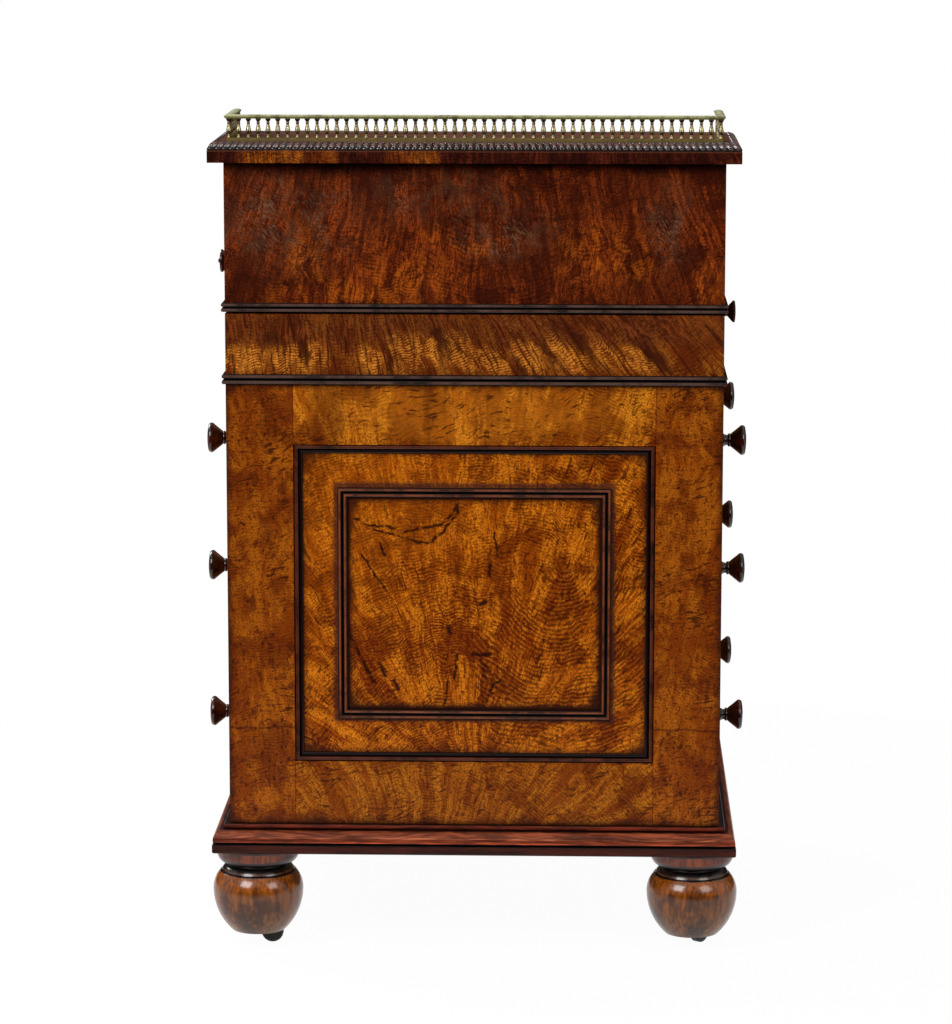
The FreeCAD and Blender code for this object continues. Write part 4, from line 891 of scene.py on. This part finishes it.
# -------------------- frieze and slides
# ovals of its golden patches and of its dark streaks, for blots
frieze_bright = ((239, 636, 22, 14), (191, 634, 21, 14), (164, 638, 10, 15), (110, 635, 10, 14),
                 (72, 644, 17, 21), (48, 646, 12, 19), (15, 646, 17, 21), (-15, 635, 14, 14),
                 (-58, 639, 19, 15), (-98, 644, 21, 19), (-140, 646, 12, 19), (-167, 636, 14, 14))
frieze_dark = ((30, 660, 7, 21), (90, 635, 4, 17), (-42, 628, 5, 14), (-77, 650, 5, 21), (-120, 650, 6, 21),
               (-188, 643, 11, 21), (177, 642, 4, 17), (210, 655, 12, 8))
frieze_middle = 0.64
frieze_shade = (0.642, 0.664)                    # heights between which the frieze grows dark
frieze_side_shade = (0.636, 0.66)
frieze_pitch = 0.003          # between the ripples of its golden patches


def leaning(place):
    """Place laid over so that what runs straight up in it leans more and more to one side."""
    parts = split(place)
    slope = spread(parts["X"], 0.2, -0.2, -0.1, -0.8)
    across = maths("MULTIPLY_ADD", less(parts["Z"], frieze_middle), slope, parts["X"])
    return joined(across, parts["Z"])


def finish_frieze(place, colour, figure):
    """Golden rippled patches low down between dark streaks, and a darker upper half."""
    rough = shaken(place, 60.0, 0.018)
    leaned = leaning(rough)
    patchy = streaky(leaned, (130.0, 0.0, 34.0), 3.0, 0.6)
    bright = times(blots(leaned, frieze_bright, 0.34), spread(patchy, 0.4, 0.52, 0.1, 1.0))
    colour = tinted(colour, less(1.0, bright), 0.62, (88, 34, 7))
    wave = streaky(leaned, (46.0, 0.0, 8.0), 1.0)
    level = maths("MULTIPLY_ADD", wave, 0.026, axis_of(place, "Z"))
    level = maths("MULTIPLY_ADD", axis_of(place, "X"), 0.25, level)
    row = maths("SINE", times(level, math.tau / frieze_pitch))
    row = spread(maths("MULTIPLY_ADD", row, 0.14, noise(place, 260.0)), 0.42, 0.58)
    glow = times(bright, spread(row, 1.0, 0.0))
    colour = tinted(colour, times(bright, row), 0.62, (96, 38, 6))
    colour = tinted(colour, glow, 0.5, (218, 134, 44))
    colour = tinted(colour, blots(leaned, frieze_dark), 0.8, (50, 18, 8))
    straight = leaning(shaken(place, 40.0, 0.006))
    between = streaky(straight, (200.0, 0.0, 16.0), 3.0, 0.6)
    colour = tinted(colour, spread(between, 0.53, 0.6), 0.72, (46, 15, 5))
    upper = spread(axis_of(rough, "Z"), *frieze_shade)
    colour = tinted(colour, upper, 0.46, (48, 16, 8))
    bloom = short_strokes(place, (240.0, 0.0, 200.0), 0.52, 0.68, lean=-0.4)
    colour = tinted(colour, times(bloom, upper), 0.2, (150, 84, 48))
    warm = short_strokes(straight, (360.0, 0.0, 40.0), 0.52, 0.64)
    return tinted(colour, times(warm, upper), 0.42, (136, 64, 22))


def finish_frieze_side(place, colour, figure):
    """Darker towards the top, like the rear of the frieze."""
    upper = spread(axis_of(place, "Z"), *frieze_side_shade)
    return tinted(colour, upper, 0.5, (72, 26, 12))


def finish_slide(place, colour, figure):
    """A slide's figured front edge on a straight-grained board, with a dark turned knob."""
    across = axis_of(place, "X", True)
    plain = board(place, (9.0, 150.0, 150.0), (158, 92, 38), (110, 58, 22))["Color"]
    colour = mixed(spread(across, case_half.x - 0.0006, case_half.x - 0.001), colour, plain)
    knob = spread(across, case_half.x + 0.0003, case_half.x + 0.0006)
    return tinted(colour, knob, 0.95, (34, 12, 7))


# -------------------- drawers
drawer_bead = 0.0032          # width of the bead round a drawer front


def finish_drawers(place, colour, figure):
    """A small raised bead round each drawer front, shown by its shadow line and its light crest, and
    a plain inner face."""
    parts = split(place)
    inner, outer = drawer_fronts[0]
    across = less(absolute(parts["Y"]), outer.y)
    past = 1.0
    for low, high in drawer_fronts:
        tall = absolute(less(parts["Z"], (low.z + high.z) / 2))
        tall = less(tall, (high.z - low.z) / 2)
        past = maths("MINIMUM", past, larger(across, tall))
    colour = tinted(colour, band(past, -drawer_bead, 0.01, 0.0004), 0.75, (62, 22, 10))
    # painted highlight on the bead's crest
    crest = band(past, -drawer_bead / 1.6, -drawer_bead / 2.6, 0.0005)
    colour = tinted(colour, crest, 0.6, (140, 70, 34))
    # painted shadow line beside the bead
    groove = band(past, -drawer_bead - 0.0004, -drawer_bead + 0.0004, 0.0003)
    colour = tinted(colour, groove, 0.9, (18, 7, 4))
    worn = times(spread(past, -0.02, -drawer_bead), spread(past, 0.0, -drawer_bead))
    colour = tinted(colour, worn, 0.45, (60, 22, 8))
    inside = spread(absolute(parts["X"]), inner.x + 0.0004, inner.x + 0.0001)
    plain = board(place, (180.0, 12.0, 180.0), (184, 142, 92), (146, 102, 60))
    return mixed(inside, colour, plain["Color"])


# -------------------- desk box and shelf
# ovals of its hazy patches and of its red flames, for blots
box_haze = ((200, 777, 69, 41), (37, 805, 62, 21), (-201, 775, 21, 38), (-35, 768, 38, 24))
box_flame = ((128, 701, 72, 16), (-250, 716, 14, 21), (176, 732, 16, 38), (24, 760, 40, 9),
             (-135, 744, 40, 24), (70, 720, 40, 20))
box_seam = 0.7829             # height of the seam in its back board


def finish_box(place, colour, figure):
    """Dark polish with hazy patches, red flames low down and a shadow line under the shelf."""
    rough = shaken(place, 26.0, 0.05)
    high = axis_of(place, "Z")
    clouds = streaky(rough, (16.0, 0.0, 10.0), 4.0, 0.6)
    colour = tinted(colour, spread(clouds, 0.42, 0.6), 0.6, (50, 15, 6))
    fine = short_strokes(place, (460.0, 0.0, 70.0), 0.46, 0.6, lean=0.25)
    colour = tinted(colour, fine, 0.45, (48, 13, 5))
    flame = times(blots(rough, box_flame, 0.9), spread(figure["Figure"], 0.7, 0.1, 0.25, 1.0))
    fire = streaky(rough, (90.0, 0.0, 22.0), 3.0, 0.65)
    flame = times(flame, spread(fire, 0.42, 0.58))
    flame = times(flame, less(1.0, times(fine, 0.8)))
    colour = tinted(colour, flame, 0.68, (176, 84, 16))
    haze = blots(rough, box_haze, 0.8)
    grey = streaky(rough, (60.0, 0.0, 30.0), 4.0, 0.65)
    colour = tinted(colour, times(haze, spread(grey, 0.4, 0.7)), 0.4, (98, 70, 48))
    glints = short_strokes(place, (420.0, 0.0, 230.0), 0.58, 0.66, lean=-0.6)
    colour = tinted(colour, times(glints, haze), 0.17, (150, 122, 98))
    seam = band(high, box_seam - 0.0003, box_seam + 0.0003, 0.0003)
    seam = times(seam, spread(axis_of(place, "X"), 0.02, 0.0))
    colour = tinted(colour, seam, 0.6, (26, 8, 4))
    shade = spread(axis_of(rough, "Z"), shelf_low.z - 0.0149, shelf_low.z + 0.0031)
    colour = tinted(colour, shade, 0.8, (26, 8, 5))
    shadow = spread(high, shelf_low.z - 0.0054, shelf_low.z - 0.0004)
    return tinted(colour, shadow, 0.85, (8, 4, 3))


golden_lengths = ((0.14, 0.245, 0.002), (0.035, 0.092, 0.003))   # from, to and how soft at the ends
golden_tints = ((176, 98, 24), (130, 60, 12), (96, 38, 8), (60, 20, 6))


def finish_fascia(place, colour, figure):
    """Golden lengths let into the dark fascia, a darker sloped edge, and straight grain on the top."""
    across = axis_of(place, "X")
    high = axis_of(place, "Z")
    gold = 0.0
    for start, end, soft in golden_lengths:
        gold = larger(gold, band(across, start, end, soft))
    golden = figured(unfolded(place, "top"), (0.0, 0.0, -0.6), golden_tints, Fibres=260.0)
    colour = mixed(times(gold, 0.7), colour, golden["Color"])
    upright = short_strokes(place, (420.0, 0.0, 30.0), 0.46, 0.6)
    colour = tinted(colour, upright, 0.6, (30, 8, 5))
    lip = band(high, edge_low - 0.0009, edge_low + 0.0001, 0.0002)
    colour = tinted(colour, lip, 0.4, (104, 62, 40))
    colour = tinted(colour, spread(high, edge_low, edge_low + 0.0008), 0.9, (26, 17, 14))
    top = spread(high, shelf_high.z - 0.001, shelf_high.z - 0.0003, 0.0, 0.92)
    plain = board(place, (7.0, 120.0, 120.0), (122, 78, 58), (70, 44, 36), 0.03)
    return mixed(top, colour, plain["Color"])


# -------------------- materials
rail_tints = ((202, 122, 26), (158, 80, 10)) + honey[2:]
front_tints = ((202, 122, 26), (156, 78, 10)) + honey[2:]
drawer_rail_tints = ((160, 86, 18), (120, 54, 8), (84, 30, 4), (44, 13, 4))
frieze_tints = ((210, 128, 40), (138, 62, 10), (78, 26, 6), (44, 14, 6))
frieze_side_tints = (honey[0], (134, 62, 10), (72, 25, 7), (44, 14, 6))
box_tints = ((146, 62, 18), (94, 33, 9), (50, 12, 4), (26, 6, 3))
box_side_tints = ((122, 50, 16), (88, 32, 10), (58, 16, 5), (36, 9, 4))
shelf_tints = ((88, 34, 18), (58, 20, 11), (36, 10, 7), (20, 6, 4))
lid_tints = ((132, 62, 20), (94, 38, 12), (62, 20, 7), (38, 11, 5))
pale, pale_grain = (190, 150, 100), (150, 108, 64)
brown, brown_grain = (160, 112, 66), (116, 74, 40)
black = (13, 6, 4)
along_x, along_z = (12.0, 180.0, 180.0), (180.0, 180.0, 12.0)    # which way straight grain runs

oak_panel = oak("figured oak panel", (0.009, 0.0, 0.16), then=finish_panel, face="flat",
                Rings=(-0.092, 0, 0.419), Ringed=(-0.11, 0, 0.3), Reach=0.125)
oak_frame = oak("figured oak frame", (0.06, 0.0, 0.0), rail_tints, finish_frame, Rings=(0.12, 0, 0.68),
                Ringed=(0.1, 0, 0.58), Reach=0.05, Fibres=160.0, Ripple=0.72, Streak=0.7)
oak_front = oak("figured oak front panel", (-0.03, 0.0, 0.14), then=finish_panel_edges, face="flat",
                Rings=(0.06, 0, 0.44), Ringed=(0.08, 0, 0.31), Reach=0.11)
oak_side = oak("figured oak side", (0.03, 0.0, -0.9), face="side", Fibres=420.0)
slide_wood = oak("slide oak", (0.03, 0.0, -0.9), then=finish_slide, face="side", Fibres=420.0)
oak_drawers = oak("drawer front oak", (-0.02, 0.0, -0.7), front_tints, finish_drawers, "side",
                  Fibres=360.0)
box_veneer = oak("dark box veneer", (0.025, 0.0, 1.4), box_tints, finish_box, Rings=(-0.015, 0, 0.86),
                 Ringed=(-0.015, 0, 0.735), Reach=0.075, Fibres=900.0, Ripple=0.6, Streak=0.6, Flame=0.36)
box_side_veneer = oak("dark box side veneer", (0.02, 0.0, 1.1), box_side_tints, face="side",
                      Fibres=420.0, Ripple=0.5, Streak=0.5)
frieze_wood = oak("frieze veneer", (0.179, 0.0, 1.048), frieze_tints, finish_frieze, Fibres=260.0,
                  Ripple=1.0, Streak=1.0)
frieze_side_wood = oak("frieze side veneer", (0.1, 0.0, 1.048), frieze_side_tints, finish_frieze_side,
                       "side", Fibres=260.0)
shelf_wood = oak("shelf veneer", (0.0, 0.0, 2.3), shelf_tints, finish_fascia, "top", 0.05,
                 Fibres=1050.0, Ripple=0.6, Streak=0.6)
lid_wood = oak("lid veneer", (0.0, 0.0, 3.0), lid_tints, face="top", specular=0.2, Fibres=1500.0,
               Ripple=0.5, Streak=0.6)
# each moulding's last tint is for wear and painted highlight on its crests; black is dirt and painted shade
# in its grooves
field_wood = moulding_wood("planted moulding", "panel", (0.003, 0.0042, 0.0046), black, (24, 10, 7),
                           (122, 62, 34), 0.3, 0.16)
sunk_wood = moulding_wood("sunk moulding", "panel", (0.0012, 0.0028, 0.0052), black, (20, 8, 6),
                          (80, 36, 22), 0.25, 0.16)
waist_wood = moulding_wood("waist moulding", "case", (0.0014, 0.003, 0.004), black, (14, 8, 7),
                           (88, 62, 52), 0.25, 0.2)
# painted highlights: the red line from 119.9 mm and the pale line from 124.6 mm; painted shade: the
# near-black bands from 116.6, 131.8 and 137.4 mm in its grooves and creases
plinth_wood = banded_wood("plinth wood", (
    (100, (58, 20, 11)), (109.5, (66, 23, 12)), (116.6, (12, 5, 4)), (119.9, (190, 84, 46)),
    (121.3, (134, 62, 36)), (124.6, (170, 104, 76)), (126.2, (140, 74, 48)), (131.8, (30, 12, 8)),
    (133.2, (110, 42, 24)), (137.4, (18, 7, 5))), (34.0, 34.0, 700.0), 0.15, 0.3, 0.9, 0.55,
    (22.0, 22.0, 240.0))
# painted shadow: the dark band from 94.6 mm under the collar; painted highlight: the pale line from 81.4
# mm; painted shade: the dark line from 79.4 mm in the groove
foot_wood = banded_wood("foot wood", (
    (0, (120, 76, 26)), (40, (126, 72, 16)), (66, (142, 78, 12)), (79.4, (16, 8, 6)),
    (81.4, (84, 54, 36)), (83.2, (24, 16, 14)), (86.4, (10, 5, 4)), (94.6, (30, 14, 9)),
    (96.5, (118, 54, 18)), (105.5, (40, 17, 9))), (330.0, 330.0, 26.0), 0.5, 0.2, 0.8, 0.7,
    (24.0, 24.0, 20.0))
# hollow, grey painted highlight at the foot, and red wear at the top
lappet_wood = carved_wood("carved edge", (18, 14, 13), (74, 68, 64), (98, 58, 46), 0.17)
knob_wood = dark_wood("turned knob wood", (24, 8, 5), (62, 20, 11), 0.6, 0.18)
brass = metal("aged brass", ((0, (172, 156, 108)),), (84, 70, 42))
# painted light and shade by height: the pale band from 870.5 mm on the ring and bulb is painted highlight;
# the darker bands from 867.6 and 881 mm are painted shade
gallery_brass = metal("gallery brass", (
    (860, (120, 108, 76)), (867.6, (96, 84, 54)), (870.5, (150, 142, 108)), (876.5, (124, 110, 82)),
    (881, (84, 70, 48))), (88, 76, 48), 0.3)
# painted light by height: the rails lighter on their upper faces than on their fronts, brightest on top of
# the top rail
rail_brass = metal("gallery rail brass", (
    (860, (116, 98, 50)), (865.4, (140, 122, 74)), (885, (150, 148, 84)), (886.4, (168, 168, 116)),
    (888.9, (206, 206, 164))), (84, 72, 34), 0.34, 0.75, 0.45)
castor_metal = metal("castor brass", ((0, (34, 31, 24)),), (12, 12, 9), 0.4, metallic=0.6)
lining = veneer("drawer lining", pale, pale_grain, along_x, 0.25, 0.5)
rail_wood = veneer("drawer rails", brown, brown_grain, along_x, faced_from=0.2425,
                   tints=drawer_rail_tints)
pen_wood = veneer("pen drawer wood", pale, pale_grain, along_x, faced_from=0.2475,
                  tints=box_side_tints)
carcase = veneer("carcase wood", brown, brown_grain, along_z, 0.2, 0.6)
leather = tooled_leather()

finishes = {
    "figured_oak": oak_side, "dark_veneer": box_side_veneer, "frieze_veneer": frieze_wood,
    "ebonised_moulding": waist_wood, "turned_dark": knob_wood, "foot_wood": foot_wood,
    "plinth_wood": plinth_wood, "carcase_wood": carcase, "drawer_lining": lining,
    "gallery_brass": brass, "castor_brass": castor_metal, "leather": leather,
}
own_finish = {
    "back_panel": oak_panel, "back_frame": oak_frame, "front_frame": oak_frame,
    "front_panel": oak_front, "shelf_board": shelf_wood, "lid_board": lid_wood,
    "pedestal_boards": rail_wood, "pen_drawer": pen_wood, "dummy_drawer_fronts": oak_drawers,
    "drawer_1_front": oak_drawers, "drawer_2_front": oak_drawers, "drawer_3_front": oak_drawers,
    "left_slide": slide_wood, "right_slide": slide_wood, "box_back": box_veneer,
    "back_field_moulding": field_wood, "back_sunk_moulding": sunk_wood, "front_mouldings": sunk_wood,
    "frieze_sides": frieze_side_wood, "gallery_bottom_rail": rail_brass,
    "gallery_top_rail": rail_brass, "gallery_balusters": gallery_brass,
}

for name in nodes:
    dress(name, own_finish.get(name, finishes[slot_of(name)]))

carve_edge(lappet_wood)

set_camera()
bpy.context.scene.view_settings.view_transform = "Standard"
make_stage()
make_world()
for lamp in lamps:
    make_lamp(*lamp)
